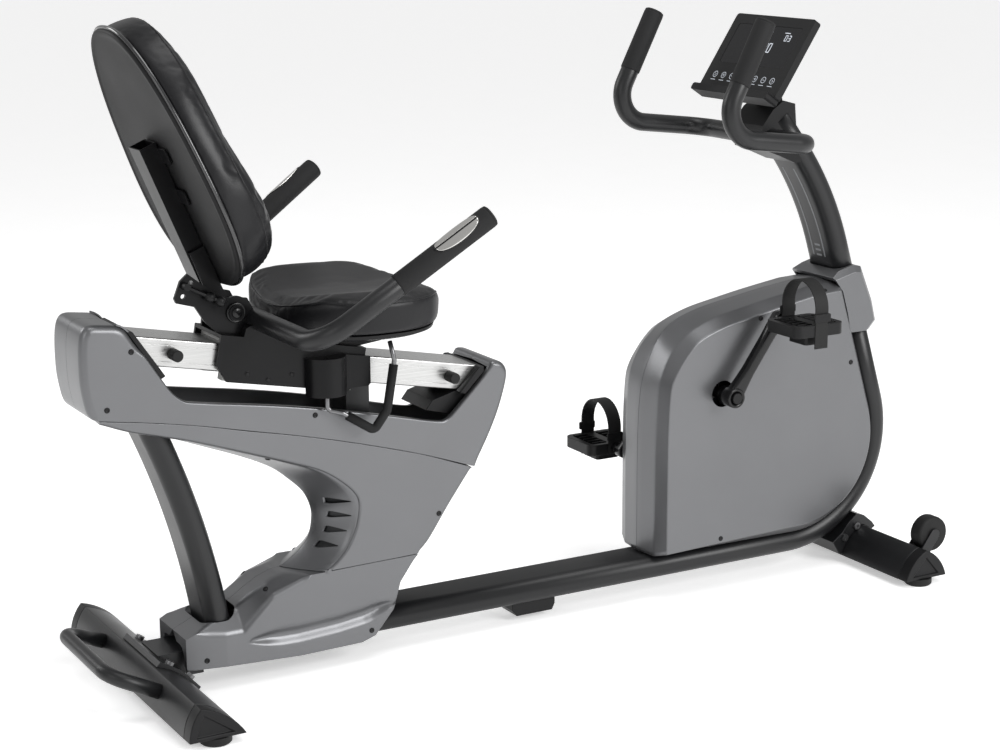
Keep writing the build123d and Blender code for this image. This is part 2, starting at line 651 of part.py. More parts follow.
with BuildPart() as drive_cover_right:
    for y_a, pts_a, gap_a, top_a, y_b, pts_b, gap_b, top_b in (
        (-0.15, SEAM, 1.0, 568, -50, RIM, 1.0, 563),
        (-50, RIM, 1.0, 563, -78, PANEL, 22.0, 550),
    ):
        with BuildSketch(side(y_a)):
            with BuildLine():
                Polyline(*drive_face(pts_a, gap_a, top_a), close=True)
            make_face()
        with BuildSketch(side(y_b)):
            with BuildLine():
                Polyline(*drive_face(pts_b, gap_b, top_b), close=True)
            make_face()
        loft(ruled=True)
    for y_a, pts_a, gap_a, top_a, y_b, pts_b, gap_b, top_b in (
        (1, SEAM, 5.0, 563, -50, RIM, 5.0, 558),
        (-49.9, RIM, 5.0, 558, -75, PANEL, 26.0, 546),
    ):
        with BuildSketch(side(y_a)):
            with BuildLine():
                Polyline(*drive_face(shrink(pts_a, 4), gap_a, top_a), close=True)
            make_face()
        with BuildSketch(side(y_b)):
            with BuildLine():
                Polyline(*drive_face(shrink(pts_b, 3.2), gap_b, top_b), close=True)
            make_face()
        loft(ruled=True, mode=Mode.SUBTRACT)
    with BuildSketch(side(-60)):
        with Locations((CRANK_X, CRANK_Z)):
            Circle(24)
    extrude(amount=30, mode=Mode.SUBTRACT)
    with BuildSketch(side(5)):
        with BuildLine():
            Polyline(*COLLAR_CUT, close=True)
        make_face()
        with BuildLine():
            Polyline((318, 70), (618, 70), (618, 92), (318, 92), close=True)
        make_face()
    extrude(amount=49, mode=Mode.SUBTRACT)
    with BuildSketch(side(-40)):
        with BuildLine():
            Polyline(*COLLAR_CUT, close=True)
        make_face()
    extrude(amount=60, mode=Mode.SUBTRACT)
drive_cover_right.part.label = "drive_cover_right"
export_step(drive_cover_right.part, "parts/drive_cover_right.step")

with BuildPart() as drive_cover_left:
    add(mirror(drive_cover_right.part, about=Plane.XZ, mode=Mode.PRIVATE))
drive_cover_left.part.label = "drive_cover_left"
export_step(drive_cover_left.part, "parts/drive_cover_left.step")

# Collar that wraps the foot of the mast, over the tube joint.
with BuildPart() as collar_cover:
    with BuildSketch(side(68)):
        with BuildLine():
            Polyline(
                (642, 573), (663, 546), (677, 500), (684, 464), (737, 464), (752, 480), (741, 521),
                (724, 561), (712, 589), (690, 592), (660, 584), close=True,
            )
        make_face()
    extrude(amount=136)
    chamfer(
        collar_cover.faces().filter_by(Axis.Y).edges().filter_by(
            lambda e: e.center().X > 712 + MID or e.center().Z > 583
        ),
        11,
    )
    with BuildSketch(Plane(origin=at(mast_x(440), 0, 440), x_dir=(0, 1, 0), z_dir=(dx, 0, dz))):
        SlotOverall(TUBE_W + 2, TUBE_T + 2)
    extrude(amount=200, mode=Mode.SUBTRACT)
    with BuildSketch(side(63)):
        with BuildLine():
            Polyline(
                (600, 540), (659, 540), (672, 500), (679, 450), (728, 450), (735, 480), (722, 540), (700, 566),
                (600, 566), close=True,
            )
        make_face()
    extrude(amount=126, mode=Mode.SUBTRACT)
collar_cover.part.label = "collar_cover"
export_step(collar_cover.part, "parts/collar_cover.step")

# ---------------------------------------------------------------- cover screws
# Small dark screw heads that sit just proud of the cover faces.
SCREWS_REAR = [(-747, 592), (-791, 503), (-435, 449), (-195, 246), (-530, 122), (-345, 60)]
SCREWS_DRIVE = [(470, 500), (350, 112), (620, 470), (290, 300)]
with BuildPart() as cover_screws:
    for y, s in ((-COVER_HALF - 0.05, 1), (COVER_HALF + 0.05, -1)):
        with BuildSketch(side(y)):
            with Locations(*SCREWS_REAR):
                Circle(4.5)
        extrude(amount=1.6 * s)
    for y, s in ((-78.05, 1), (78.05, -1)):
        with BuildSketch(side(y)):
            with Locations(*SCREWS_DRIVE):
                Circle(4.5)
        extrude(amount=1.6 * s)
cover_screws.part.label = "cover_screws"
export_step(cover_screws.part, "parts/cover_screws.step")

# ---------------------------------------------------------------- handlebar and console
HB_TIP, HB_BEND, HB_FRONT = (392.0, 1069.0), (291.0, 871.0), (505.0, 845.0)
HB_Y = 175.0
hb_dir = (Vector(HB_BEND[0], 0, HB_BEND[1]) - Vector(HB_TIP[0], 0, HB_TIP[1])).normalized()
HB_END = (HB_TIP[0] + 8 * hb_dir.X, HB_TIP[1] + 8 * hb_dir.Z)
with BuildPart() as handlebar:
    with BuildLine() as hb_path:
        FilletPolyline(
            *xyz(
                (HB_END[0], -HB_Y, HB_END[1]), (HB_BEND[0], -HB_Y, HB_BEND[1]),
                (HB_FRONT[0], -HB_Y, HB_FRONT[1]), (HB_FRONT[0], HB_Y, HB_FRONT[1]),
                (HB_BEND[0], HB_Y, HB_BEND[1]), (HB_END[0], HB_Y, HB_END[1]),
            ),
            radius=(54, 46, 46, 54),
        )
    h0 = Vector(*at(HB_END[0], -HB_Y, HB_END[1]))
    h1 = Vector(*at(HB_BEND[0], -HB_Y, HB_BEND[1]))
    with BuildSketch(Plane(origin=h0, z_dir=(h1 - h0).normalized())):
        Circle(BAR_R)
        Circle(BAR_R - 2, mode=Mode.SUBTRACT)
    sweep(path=hb_path.wires()[0])
handlebar.part.label = "handlebar"
export_step(handlebar.part, "parts/handlebar.step")

with BuildPart() as handlebar_grips:
    for y in (-HB_Y, HB_Y):
        tip = Vector(*at(HB_TIP[0], y, HB_TIP[1]))
        with BuildSketch(Plane(origin=tip, z_dir=hb_dir)):
            Circle(GRIP_R)
        extrude(amount=122)
        with BuildSketch(Plane(origin=tip + hb_dir * 8, z_dir=hb_dir)):
            Circle(BAR_R)
        extrude(amount=130, mode=Mode.SUBTRACT)
    fillet(handlebar_grips.faces().filter_by(GeomType.PLANE).group_by(Axis.Z)[-1].edges(), 3)
handlebar_grips.part.label = "handlebar_grips"
export_step(handlebar_grips.part, "parts/handlebar_grips.step")

TILT_X, TILT_Z = 508.0, 922.0     # console pin
# Moulded clamp housing that joins the handlebar to the mast.
m_lean = math.radians(38)
with BuildPart() as handlebar_clamp:
    with BuildSketch(side(46)):
        with BuildLine():
            Polyline(
                (482, 850), (488, 824), (520, 812), (560, 795), (596, 800), (588, 828), (560, 862), (556, 905),
                (530, 912), (506, 896), (484, 868), close=True,
            )
        make_face()
    extrude(amount=92)
    with BuildSketch(side(80)):
        with Locations((HB_FRONT[0], HB_FRONT[1])):
            Circle(BAR_R)
    extrude(amount=160, mode=Mode.SUBTRACT)
    m_end = Vector(*at(MAST_TOP[0], 0, MAST_TOP[1]))
    m_dir = Vector(-math.sin(m_lean), 0, math.cos(m_lean))
    with BuildSketch(Plane(origin=m_end - m_dir * 130, x_dir=(0, 1, 0), z_dir=m_dir)):
        SlotOverall(TUBE_W + 0.6, TUBE_T + 0.6)
    extrude(amount=131, mode=Mode.SUBTRACT)
    # knuckle that holds the console pin
    with BuildSketch(side(22)):
        with BuildLine():
            Polyline((512, 905), (546, 905), (544, 914), (530, 930), (508, 936), (497, 922), close=True)
        make_face()
        with Locations((TILT_X, TILT_Z)):
            Circle(12)
            Circle(4 + RUN, mode=Mode.SUBTRACT)
    extrude(amount=44)
handlebar_clamp.part.label = "handlebar_clamp"
export_step(handlebar_clamp.part, "parts/handlebar_clamp.step")

# Console: a thin flat display pod that tilts on a pin above the clamp.
CON_LOW, CON_TOP = (452.0, 925.0), (543.0, 1062.0)
con_dir = Vector(CON_TOP[0] - CON_LOW[0], 0, CON_TOP[1] - CON_LOW[1])
CON_H = con_dir.length
con_dir = con_dir.normalized()
con_out = Vector(-con_dir.Z, 0, con_dir.X)      # towards the rider
CON_W = 240.0


def console_plane(d=0.0):
    """Face plane of the console, x across it and y up it, d behind the face."""
    c = Vector(*at((CON_LOW[0] + CON_TOP[0]) / 2, 0, (CON_LOW[1] + CON_TOP[1]) / 2)) - con_out * d
    return Plane(origin=c, x_dir=(0, -1, 0), z_dir=con_out)


with BuildPart() as console_housing:
    with BuildSketch(console_plane(14)):
        RectangleRounded(CON_W, CON_H, 7)
    extrude(amount=14)
    with BuildSketch(console_plane(0)):
        with Locations((0, 20)):
            RectangleRounded(196, 84, 5)
    extrude(amount=-3, mode=Mode.SUBTRACT)
    # tray lip along the lower edge
    with BuildSketch(console_plane(14)):
        with Locations((0, -CON_H / 2 - 2)):
            RectangleRounded(CON_W - 6, 14, 5)
    extrude(amount=30)
    # bulge behind, with the hinge knuckles
    with BuildSketch(console_plane(14)):
        with Locations((0, -6)):
            RectangleRounded(150, 96, 10)
    extrude(amount=-16, taper=20)
    for y in (-34, 24.5):
        with BuildSketch(side(y + 10)):
            with Locations((TILT_X, TILT_Z)):
                Circle(9)
            with BuildLine():
                Polyline((500, 926), (502, 950), (521, 950), (516, 924), close=True)
            make_face()
        extrude(amount=9.5)
    with BuildSketch(side(36)):
        with Locations((TILT_X, TILT_Z)):
            Circle(4)
    extrude(amount=72)
console_housing.part.label = "console_housing"
export_step(console_housing.part, "parts/console_housing.step")

with BuildPart() as console_screen:
    with BuildSketch(console_plane(2.9)):
        with Locations((0, 20)):
            RectangleRounded(195.6, 83.6, 4.8)
    extrude(amount=2.4)
console_screen.part.label = "console_screen"
export_step(console_screen.part, "parts/console_screen.step")

# ---------------------------------------------------------------- drive train
PLATE_Y = 30.0
with BuildPart() as drive_frame:
    for y in (-PLATE_Y, PLATE_Y + 4):
        with BuildSketch(side(y)):
            with BuildLine():
                Polyline((330, 80.4), (560, 80.4), (584, 120), (582, 262), (560, 272), (415, 402), (383, 418), (352, 402), close=True)
            make_face()
            with BuildLine():
                Polyline((368, 120), (440, 120), (400, 200), (384, 330), close=True)
            make_face(mode=Mode.SUBTRACT)
            with Locations((CRANK_X, CRANK_Z)):
                Circle(21, mode=Mode.SUBTRACT)
            with Locations((FLY_X, FLY_Z)):
                Circle(6, mode=Mode.SUBTRACT)
        extrude(amount=4)
    for y in (-22, 34):
        with BuildSketch(side(y)):
            with Locations((CRANK_X, CRANK_Z)):
                Circle(27)
                Circle(21, mode=Mode.SUBTRACT)
        extrude(amount=12)
    with BuildSketch(side(PLATE_Y)):
        with Locations((352, 100), (400, 100), (336, 92)):
            Circle(7)
    extrude(amount=2 * PLATE_Y)
drive_frame.part.label = "drive_frame"
export_step(drive_frame.part, "parts/drive_frame.step")

# Crank bearings, the fixed flywheel axle and the brake pivot pin.
with BuildPart() as bearings_and_pins:
    for y in (-22, 34):
        with BuildSketch(side(y)):
            with Locations((CRANK_X, CRANK_Z)):
                Circle(21)
                Circle(AXLE_R + RUN, mode=Mode.SUBTRACT)
        extrude(amount=12)
    with BuildSketch(side(36)):
        with Locations((FLY_X, FLY_Z)):
            Circle(6)
    extrude(amount=72)
    with BuildSketch(side(29.9)):
        with Locations((493, 134)):
            Circle(4)
    extrude(amount=59.8)
bearings_and_pins.part.label = "bearings_and_pins"
export_step(bearings_and_pins.part, "parts/bearings_and_pins.step")

with BuildPart() as drive_pulley:
    with BuildSketch(side(20)):
        with Locations((CRANK_X, CRANK_Z)):
            Circle(PULLEY_R)
            Circle(AXLE_R, mode=Mode.SUBTRACT)
            with PolarLocations(64, 6):
                Circle(19, mode=Mode.SUBTRACT)
    extrude(amount=14)
drive_pulley.part.label = "drive_pulley"
export_step(drive_pulley.part, "parts/drive_pulley.step")

with BuildPart() as flywheel:
    with BuildSketch(side(-6)):
        with Locations((FLY_X, FLY_Z)):
            Circle(FLY_R)
    extrude(amount=14)
    with BuildSketch(side(24)):
        with Locations((FLY_X, FLY_Z)):
            Circle(PINION_R)
    extrude(amount=50)
    with BuildSketch(side(30)):
        with Locations((FLY_X, FLY_Z)):
            Circle(6 + RUN)
    extrude(amount=60, mode=Mode.SUBTRACT)
flywheel.part.label = "flywheel"
export_step(flywheel.part, "parts/flywheel.step")

# Flat drive belt round the pulley and the flywheel pinion.
BELT_GAP, BELT_T = 0.3, 2.2
with BuildPart() as drive_belt:
    with BuildSketch(side(19)):
        with Locations((CRANK_X, CRANK_Z)):
            Circle(PULLEY_R + BELT_GAP + BELT_T)
        with Locations((FLY_X, FLY_Z)):
            Circle(PINION_R + BELT_GAP + BELT_T)
        make_hull()
    extrude(amount=12)
    with BuildSketch(side(19)):
        with Locations((CRANK_X, CRANK_Z)):
            Circle(PULLEY_R + BELT_GAP)
        with Locations((FLY_X, FLY_Z)):
            Circle(PINION_R + BELT_GAP)
        make_hull()
    extrude(amount=12, mode=Mode.SUBTRACT)
drive_belt.part.label = "drive_belt"
export_step(drive_belt.part, "parts/drive_belt.step")

# Magnetic brake: a curved yoke over the rim, hinged on the drive frame.
BRAKE_X, BRAKE_Z = 493.0, 134.0
with BuildPart() as brake_yoke:
    with BuildSketch(side(0)):
        with Locations((FLY_X, FLY_Z)):
            Circle(FLY_R + 16)
            Circle(FLY_R + 6, mode=Mode.SUBTRACT)
    extrude(amount=26)
    with BuildSketch(side(60)):
        with BuildLine():
            Polyline((FLY_X, FLY_Z), (FLY_X - 180, FLY_Z - 40), (FLY_X - 180, FLY_Z - 180), (FLY_X - 90, FLY_Z - 180), close=True)
        make_face()
    extrude(amount=120, mode=Mode.INTERSECT)
    with BuildSketch(side(0)):
        with Locations((BRAKE_X, BRAKE_Z)):
            Circle(9)
    extrude(amount=26)
    with BuildSketch(side(40)):
        with Locations((BRAKE_X, BRAKE_Z)):
            Circle(4 + RUN)
    extrude(amount=80, mode=Mode.SUBTRACT)
brake_yoke.part.label = "brake_yoke"
export_step(brake_yoke.part, "parts/brake_yoke.step")

# ---------------------------------------------------------------- cranks and pedals
cr, sr = math.cos(math.radians(CRANK_ANGLE)), math.sin(math.radians(CRANK_ANGLE))
PED_R = (CRANK_X + CRANK_LEN * cr, CRANK_Z + CRANK_LEN * sr)
PED_L = (CRANK_X - CRANK_LEN * cr, CRANK_Z - CRANK_LEN * sr)
ARM_Y0, ARM_Y1 = 100.0, 122.0
with BuildPart() as crank_arm_right:
    with BuildSketch(side(-ARM_Y0)):
        with Locations((CRANK_X, CRANK_Z)):
            Circle(20)
        with Locations(PED_R):
            Circle(14)
        make_hull()
    extrude(amount=ARM_Y1 - ARM_Y0 - 4)
    with BuildSketch(side(-84)):
        with Locations((CRANK_X, CRANK_Z)):
            Circle(21)
    extrude(amount=ARM_Y1 - 84)
    with BuildSketch(side(-ARM_Y0)):
        with Locations(PED_R):
            Circle(14)
    extrude(amount=ARM_Y1 - ARM_Y0)
    with BuildSketch(side(-70)):
        with Locations((CRANK_X, CRANK_Z)):
            Circle(AXLE_R)
    extrude(amount=54, mode=Mode.SUBTRACT)
    with BuildSketch(side(-90)):
        with Locations(PED_R):
            Circle(7)
    extrude(amount=60, mode=Mode.SUBTRACT)
crank_arm_right.part.label = "crank_arm_right"
export_step(crank_arm_right.part, "parts/crank_arm_right.step")

with BuildPart() as crank_arm_left:
    with BuildSketch(side(ARM_Y0)):
        with Locations((CRANK_X, CRANK_Z)):
            Circle(20)
        with Locations(PED_L):
            Circle(14)
        make_hull()
    extrude(amount=-(ARM_Y1 - ARM_Y0 - 4))
    with BuildSketch(side(84)):
        with Locations((CRANK_X, CRANK_Z)):
            Circle(21)
    extrude(amount=-(ARM_Y1 - 84))
    with BuildSketch(side(ARM_Y0)):
        with Locations(PED_L):
            Circle(14)
    extrude(amount=-(ARM_Y1 - ARM_Y0))
    with BuildSketch(side(70)):
        with Locations((CRANK_X, CRANK_Z)):
            Circle(AXLE_R)
    extrude(amount=-54, mode=Mode.SUBTRACT)
    with BuildSketch(side(90)):
        with Locations(PED_L):
            Circle(7)
    extrude(amount=-60, mode=Mode.SUBTRACT)
crank_arm_left.part.label = "crank_arm_left"
export_step(crank_arm_left.part, "parts/crank_arm_left.step")

PED_IN, PED_OUT, PED_HALF = 138.0, 236.0, 54.0
# Crank axle and the two pedal spindles.
with BuildPart() as crank_spindles:
    with BuildSketch(side(124)):
        with Locations((CRANK_X, CRANK_Z)):
            Circle(AXLE_R)
    extrude(amount=248)
    with BuildSketch(side(-ARM_Y0)):
        with Locations(PED_R):
            Circle(7)
    extrude(amount=PED_OUT - 12 - ARM_Y0)
    with BuildSketch(side(ARM_Y0)):
        with Locations(PED_L):
            Circle(7)
    extrude(amount=-(PED_OUT - 12 - ARM_Y0))
crank_spindles.part.label = "crank_spindles"
export_step(crank_spindles.part, "parts/crank_spindles.step")

# Platform pedal with a counterweight box below and side lugs for the strap.
with BuildPart() as pedal_right:
    with BuildSketch(plan(PED_R[1] - 12)):
        with Locations((PED_R[0], -(PED_IN + PED_OUT) / 2)):
            RectangleRounded(2 * PED_HALF, PED_OUT - PED_IN, 16)
    extrude(amount=21)
    with BuildSketch(plan(PED_R[1] - 30)):
        with Locations((PED_R[0] + 4, -(PED_IN + PED_OUT) / 2 - 6)):
            RectangleRounded(50, 52, 6)
    extrude(amount=18.5)
    with BuildSketch(plan(PED_R[1] + 4)):
        with Locations((PED_R[0] - 26, -(PED_IN + PED_OUT) / 2), (PED_R[0] + 26, -(PED_IN + PED_OUT) / 2)):
            RectangleRounded(34, PED_OUT - PED_IN - 20, 6)
    extrude(amount=8, mode=Mode.SUBTRACT)
    with BuildSketch(side(-120)):
        with Locations(PED_R):
            Circle(7 + RUN)
    extrude(amount=PED_OUT - 11 - 120, mode=Mode.SUBTRACT)
pedal_right.part.label = "pedal_right"
export_step(pedal_right.part, "parts/pedal_right.step")

with BuildPart() as pedal_left:
    add(
        mirror(pedal_right.part, about=Plane.XZ, mode=Mode.PRIVATE).moved(
            Location((PED_L[0] - PED_R[0], 0, PED_L[1] - PED_R[1]))
        )
    )
pedal_left.part.label = "pedal_left"
export_step(pedal_left.part, "parts/pedal_left.step")

# Foot strap: an arch over the platform, with its free tail hanging outside.
STRAP_W, STRAP_T = 28.0, 2.4
with BuildPart() as pedal_strap_right:
    with BuildSketch(Plane(origin=at(PED_R[0] - STRAP_W / 2, 0, PED_R[1]), x_dir=(0, 1, 0), z_dir=(1, 0, 0))):
        with BuildLine():
            yi, yo = -PED_IN + 1.2, -PED_OUT - 1.2
            ym = (yi + yo) / 2
            a1 = Line((yi, -8), (yi, 34))
            a2 = ThreePointArc((yi, 34), (ym, 86), (yo, 34))
            a3 = Line((yo, 34), (yo, -34))
            a4 = Line((yo, -34), (yo + STRAP_T, -34))
            a5 = Line((yo + STRAP_T, -34), (yo + STRAP_T, -12.5))
            a6 = Line((yo + STRAP_T, -12.5), (yo + 0.9, -12.5))
            a7 = Line((yo + 0.9, -12.5), (yo + 0.9, 9.3))
            a8 = Line((yo + 0.9, 9.3), (yo + STRAP_T, 9.3))
            a9 = Line((yo + STRAP_T, 9.3), (yo + STRAP_T, 34))
            b1 = ThreePointArc((yo + STRAP_T, 34), (ym, 86 - STRAP_T), (yi - STRAP_T, 34))
            b2 = Line((yi - STRAP_T, 34), (yi - STRAP_T, 9.3))
            b3 = Line((yi - STRAP_T, 9.3), (yi - 0.9, 9.3))
            b4 = Line((yi - 0.9, 9.3), (yi - 0.9, -8))
            b5 = Line((yi - 0.9, -8), (yi, -8))
        make_face()
    extrude(amount=STRAP_W)
    with BuildSketch(side(-120)):
        with Locations(PED_R):
            Circle(8.5)
    extrude(amount=40, mode=Mode.SUBTRACT)
pedal_strap_right.part.label = "pedal_strap_right"
export_step(pedal_strap_right.part, "parts/pedal_strap_right.step")

with BuildPart() as pedal_strap_left:
    add(
        mirror(pedal_strap_right.part, about=Plane.XZ, mode=Mode.PRIVATE).moved(
            Location((PED_L[0] - PED_R[0], 0, PED_L[1] - PED_R[1]))
        )
    )
pedal_strap_left.part.label = "pedal_strap_left"
export_step(pedal_strap_left.part, "parts/pedal_strap_left.step")

# ---------------------------------------------------------------- seat carriage
def rail_pt(s, h):
    """Station and height of a point s along the rail and h above its centre."""
    return (RAIL_X + s * ca + h * sa, RAIL_Z - s * sa + h * ca)


BOSS_X, BOSS_R, BOSS_Z0, BOSS_Z1 = -410.0, 36.0, 480.0, 545.0
LEVER_X, LEVER_Y = -418.0, -82.0
PIVOT_PIN_R = 8.0
PLATE_IN, PLATE_OUT = 52.0, 58.0
SIDE_BAR_X, SIDE_BAR_Z, SIDE_BAR_Y = -522.0, 616.0, 285.0
SIDE_TIP = (-243.0, 331.0, 803.0)

with BuildPart() as seat_carriage:
    # side plates and top plate that saddle the rail
    for y in (-PLATE_IN, PLATE_OUT):
        with BuildSketch(rail_side(y)):
            with BuildLine():
                Polyline((-181, 36), (-181, -14), (-160, -38), (60, -38), (81, -14), (81, 36), close=True)
            make_face()
        extrude(amount=PLATE_OUT - PLATE_IN)
    with BuildSketch(rail_side(PLATE_OUT)):
        with BuildLine():
            Polyline((-181, 32), (81, 32), (81, 38), (-181, 38), close=True)
        make_face()
    extrude(amount=2 * PLATE_OUT)
    # rounded boss for the adjustment lever and the plate in front of it
    with BuildSketch(plan(BOSS_Z0)):
        with Locations((BOSS_X, -PLATE_OUT)):
            Circle(BOSS_R)
        with Locations((BOSS_X, 0)):
            Rectangle(2 * BOSS_R + 2, 2 * PLATE_OUT, mode=Mode.SUBTRACT)
    extrude(amount=BOSS_Z1 - BOSS_Z0)
    with BuildSketch(plan(BOSS_Z0 - 10)):
        with Locations((LEVER_X, LEVER_Y)):
            Circle(4 + RUN)
    extrude(amount=100, mode=Mode.SUBTRACT)
    with BuildSketch(side(-PLATE_OUT)):
        with BuildLine():
            Polyline((-379, 486), (-334, 486), (-330, 490), (-330, 536), (-379, 545), close=True)
        make_face()
    extrude(amount=8)
    # wedge bracket and mounting plate under the seat
    with BuildSketch(side(45)):
        with BuildLine():
            Polyline(
                (-480, 577), (-345, 551), (-300, 556), (-240, 580), (-240, 585.9), (-480, 585.9), close=True
            )
        make_face()
    extrude(amount=90)
    # ears up to the backrest pivot; the right one carries the index sector
    for y, pts in (
        (40, [(-588, 597), (-584, 632), (-557, 657), (-536, 652), (-500, 581)]),
        (-34, [(-588, 597), (-592, 602), (-611, 620), (-627, 646), (-658, 655), (-661, 662), (-650, 690),
               (-637, 701), (-598, 670), (-570, 656), (-536, 652), (-500, 581)]),
    ):
        with BuildSketch(side(y)):
            with BuildLine():
                Polyline(*pts, close=True)
            make_face()
            with Locations((PIVOT_X, PIVOT_Z)):
                Circle(27)
            if y < 0:
                with Locations((-632, 686), (-646, 665)):
                    Circle(4, mode=Mode.SUBTRACT)
        extrude(amount=6)
    # saddle block that clamps the side handlebar
    with BuildSketch(side(60)):
        with BuildLine():
            Polyline((-552, 592), (-486, 579), (-492, 600), (-522, 616), (-548, 606), close=True)
        make_face()
    extrude(amount=120)
    with BuildSketch(side(80)):
        with Locations((SIDE_BAR_X, SIDE_BAR_Z)):
            Circle(BAR_R)
    extrude(amount=160, mode=Mode.SUBTRACT)
    # clear the swing of the backrest arms
    with BuildSketch(side(33)):
        with Locations((PIVOT_X, PIVOT_Z)):
            Circle(34)
    extrude(amount=66, mode=Mode.SUBTRACT)
    # pivot pin with its two heads
    with BuildSketch(side(45)):
        with Locations((PIVOT_X, PIVOT_Z)):
            Circle(PIVOT_PIN_R)
    extrude(amount=90)
    for y in (45, -40):
        with BuildSketch(side(y)):
            with Locations((PIVOT_X, PIVOT_Z)):
                Circle(13)
        extrude(amount=5)
seat_carriage.part.label = "seat_carriage"
export_step(seat_carriage.part, "parts/seat_carriage.step")

# Nylon glides between the carriage and the rail, two saddles.
with BuildPart() as carriage_glides:
    for s0 in (-170, 20):
        with BuildSketch(rail_cross(s0)):
            with Locations((0, 6)):
                Rectangle(2 * PLATE_IN - 0.2, 51.8)
            with Locations((0, -6.7)):
                Rectangle(RAIL_W + 0.6, 60, mode=Mode.SUBTRACT)
        extrude(amount=50)
    # keeper pads between the side plates, under the rail
    for y in (PLATE_IN - 0.1, -34):
        with BuildSketch(rail_side(y)):
            with Locations((-150, -30.3), (50, -30.3)):
                Rectangle(34, 13.4)
        extrude(amount=PLATE_IN - 0.1 - 34)
carriage_glides.part.label = "carriage_glides"
export_step(carriage_glides.part, "parts/carriage_glides.step")

def closed_curve(points, cx=0.0, cy=0.0):
    return [(x + cx, y + cy) for x, y in points]


with BuildPart() as seat_pan:
    for z0, k0, z1, k1 in ((586, 0.86, 591, 0.93), (591, 0.93, 597, 0.94)):
        with BuildSketch(plan(z0)):
            with BuildLine():
                Spline(*closed_curve(superellipse(SEAT_A * k0, SEAT_B * k0, 2.4, 32), SEAT_X), periodic=True)
            make_face()
        with BuildSketch(plan(z1)):
            with BuildLine():
                Spline(*closed_curve(superellipse(SEAT_A * k1, SEAT_B * k1, 2.4, 32), SEAT_X), periodic=True)
            make_face()
        loft(ruled=True)
seat_pan.part.label = "seat_pan"
export_step(seat_pan.part, "parts/seat_pan.step")

with BuildPart() as seat_cushion:
    for z0, k0, z1, k1 in ((597.3, 0.95, 612, 1.0), (612, 1.0, 640, 1.0), (640, 1.0, 664, 0.9)):
        with BuildSketch(plan(z0)):
            with BuildLine():
                Spline(*closed_curve(superellipse(SEAT_A * k0, SEAT_B * k0, 2.4, 32), SEAT_X), periodic=True)
            make_face()
        with BuildSketch(plan(z1)):
            with BuildLine():
                Spline(*closed_curve(superellipse(SEAT_A * k1, SEAT_B * k1, 2.4, 32), SEAT_X), periodic=True)
            make_face()
        loft(ruled=True)
seat_cushion.part.label = "seat_cushion"
export_step(seat_cushion.part, "parts/seat_cushion.step")

# Side handlebar: one tube behind the seat, bent forward on both sides.
tx, ty, tz = SIDE_TIP
side_dir = (Vector(SIDE_BAR_X, -SIDE_BAR_Y, SIDE_BAR_Z) - Vector(tx, -ty, tz)).normalized()
with BuildPart() as side_handlebar:
    with BuildLine() as sb_path:
        FilletPolyline(
            *xyz(
                (tx + 6 * side_dir.X, -ty + 6 * side_dir.Y, tz + 6 * side_dir.Z),
                (SIDE_BAR_X, -SIDE_BAR_Y, SIDE_BAR_Z), (SIDE_BAR_X, SIDE_BAR_Y, SIDE_BAR_Z),
                (tx + 6 * side_dir.X, ty - 6 * side_dir.Y, tz + 6 * side_dir.Z),
            ),
            radius=66,
        )
    s0 = Vector(*at(tx, -ty, tz)) + side_dir * 6
    with BuildSketch(Plane(origin=s0, z_dir=side_dir)):
        Circle(BAR_R)
        Circle(BAR_R - 2, mode=Mode.SUBTRACT)
    sweep(path=sb_path.wires()[0])
side_handlebar.part.label = "side_handlebar"
export_step(side_handlebar.part, "parts/side_handlebar.step")


def side_grip_plane(sgn, d):
    """Section of a side grip, d along it from the tip; its y axis leans upwards."""
    v = Vector(side_dir.X, -side_dir.Y * sgn, side_dir.Z)
    h = v.cross(Vector(0, 0, 1)).normalized()
    return Plane(origin=Vector(*at(tx, ty * sgn, tz)) + v * d, x_dir=-h, z_dir=v)


with BuildPart() as side_handlebar_grips:
    for sgn in (-1, 1):
        with BuildSketch(side_grip_plane(sgn, 0)):
            Circle(GRIP_R)
        extrude(amount=185)
        with BuildSketch(side_grip_plane(sgn, 6)):
            Circle(BAR_R)
        extrude(amount=200, mode=Mode.SUBTRACT)
side_handlebar_grips.part.label = "side_handlebar_grips"
export_step(side_handlebar_grips.part, "parts/side_handlebar_grips.step")

with BuildPart() as pulse_sensors:
    for sgn in (-1, 1):
        with BuildSketch(side_grip_plane(sgn, 21)):
            Circle(GRIP_R + 1.6)
            Circle(GRIP_R + 0.05, mode=Mode.SUBTRACT)
            with Locations((0, -42)):
                Rectangle(80, 100, mode=Mode.SUBTRACT)
        extrude(amount=88)
pulse_sensors.part.label = "pulse_sensors"
export_step(pulse_sensors.part, "parts/pulse_sensors.step")

# ---------------------------------------------------------------- backrest
TILT = math.radians(22.6)
BACK_C = (-657.0, 0.0, 883.0)
BACK_H, BACK_W = 225.0, 172.0
back_n = Vector(math.cos(TILT), 0, math.sin(TILT))
back_u = Vector(-math.sin(TILT), 0, math.cos(TILT))


def back_plane(d=0.0):
    """Plane of the backrest rim, d forward of it; x across, y up the back."""
    return Plane(origin=Vector(*at(*BACK_C)) + back_n * d, x_dir=(0, 1, 0), z_dir=back_n)


def back_side(y=0.0):
    """Side plane of the backrest at station y; x forward from the rim plane, y up it."""
    return Plane(origin=at(BACK_C[0], y, BACK_C[2]), x_dir=back_n, z_dir=(0, -1, 0))


def back_outline(k):
    pts = []
    for v, u in superellipse(BACK_H * k, BACK_W * k, 2.5, 36):
        pts.append((u * (1 - 0.2 * v / BACK_H), v))
    return pts


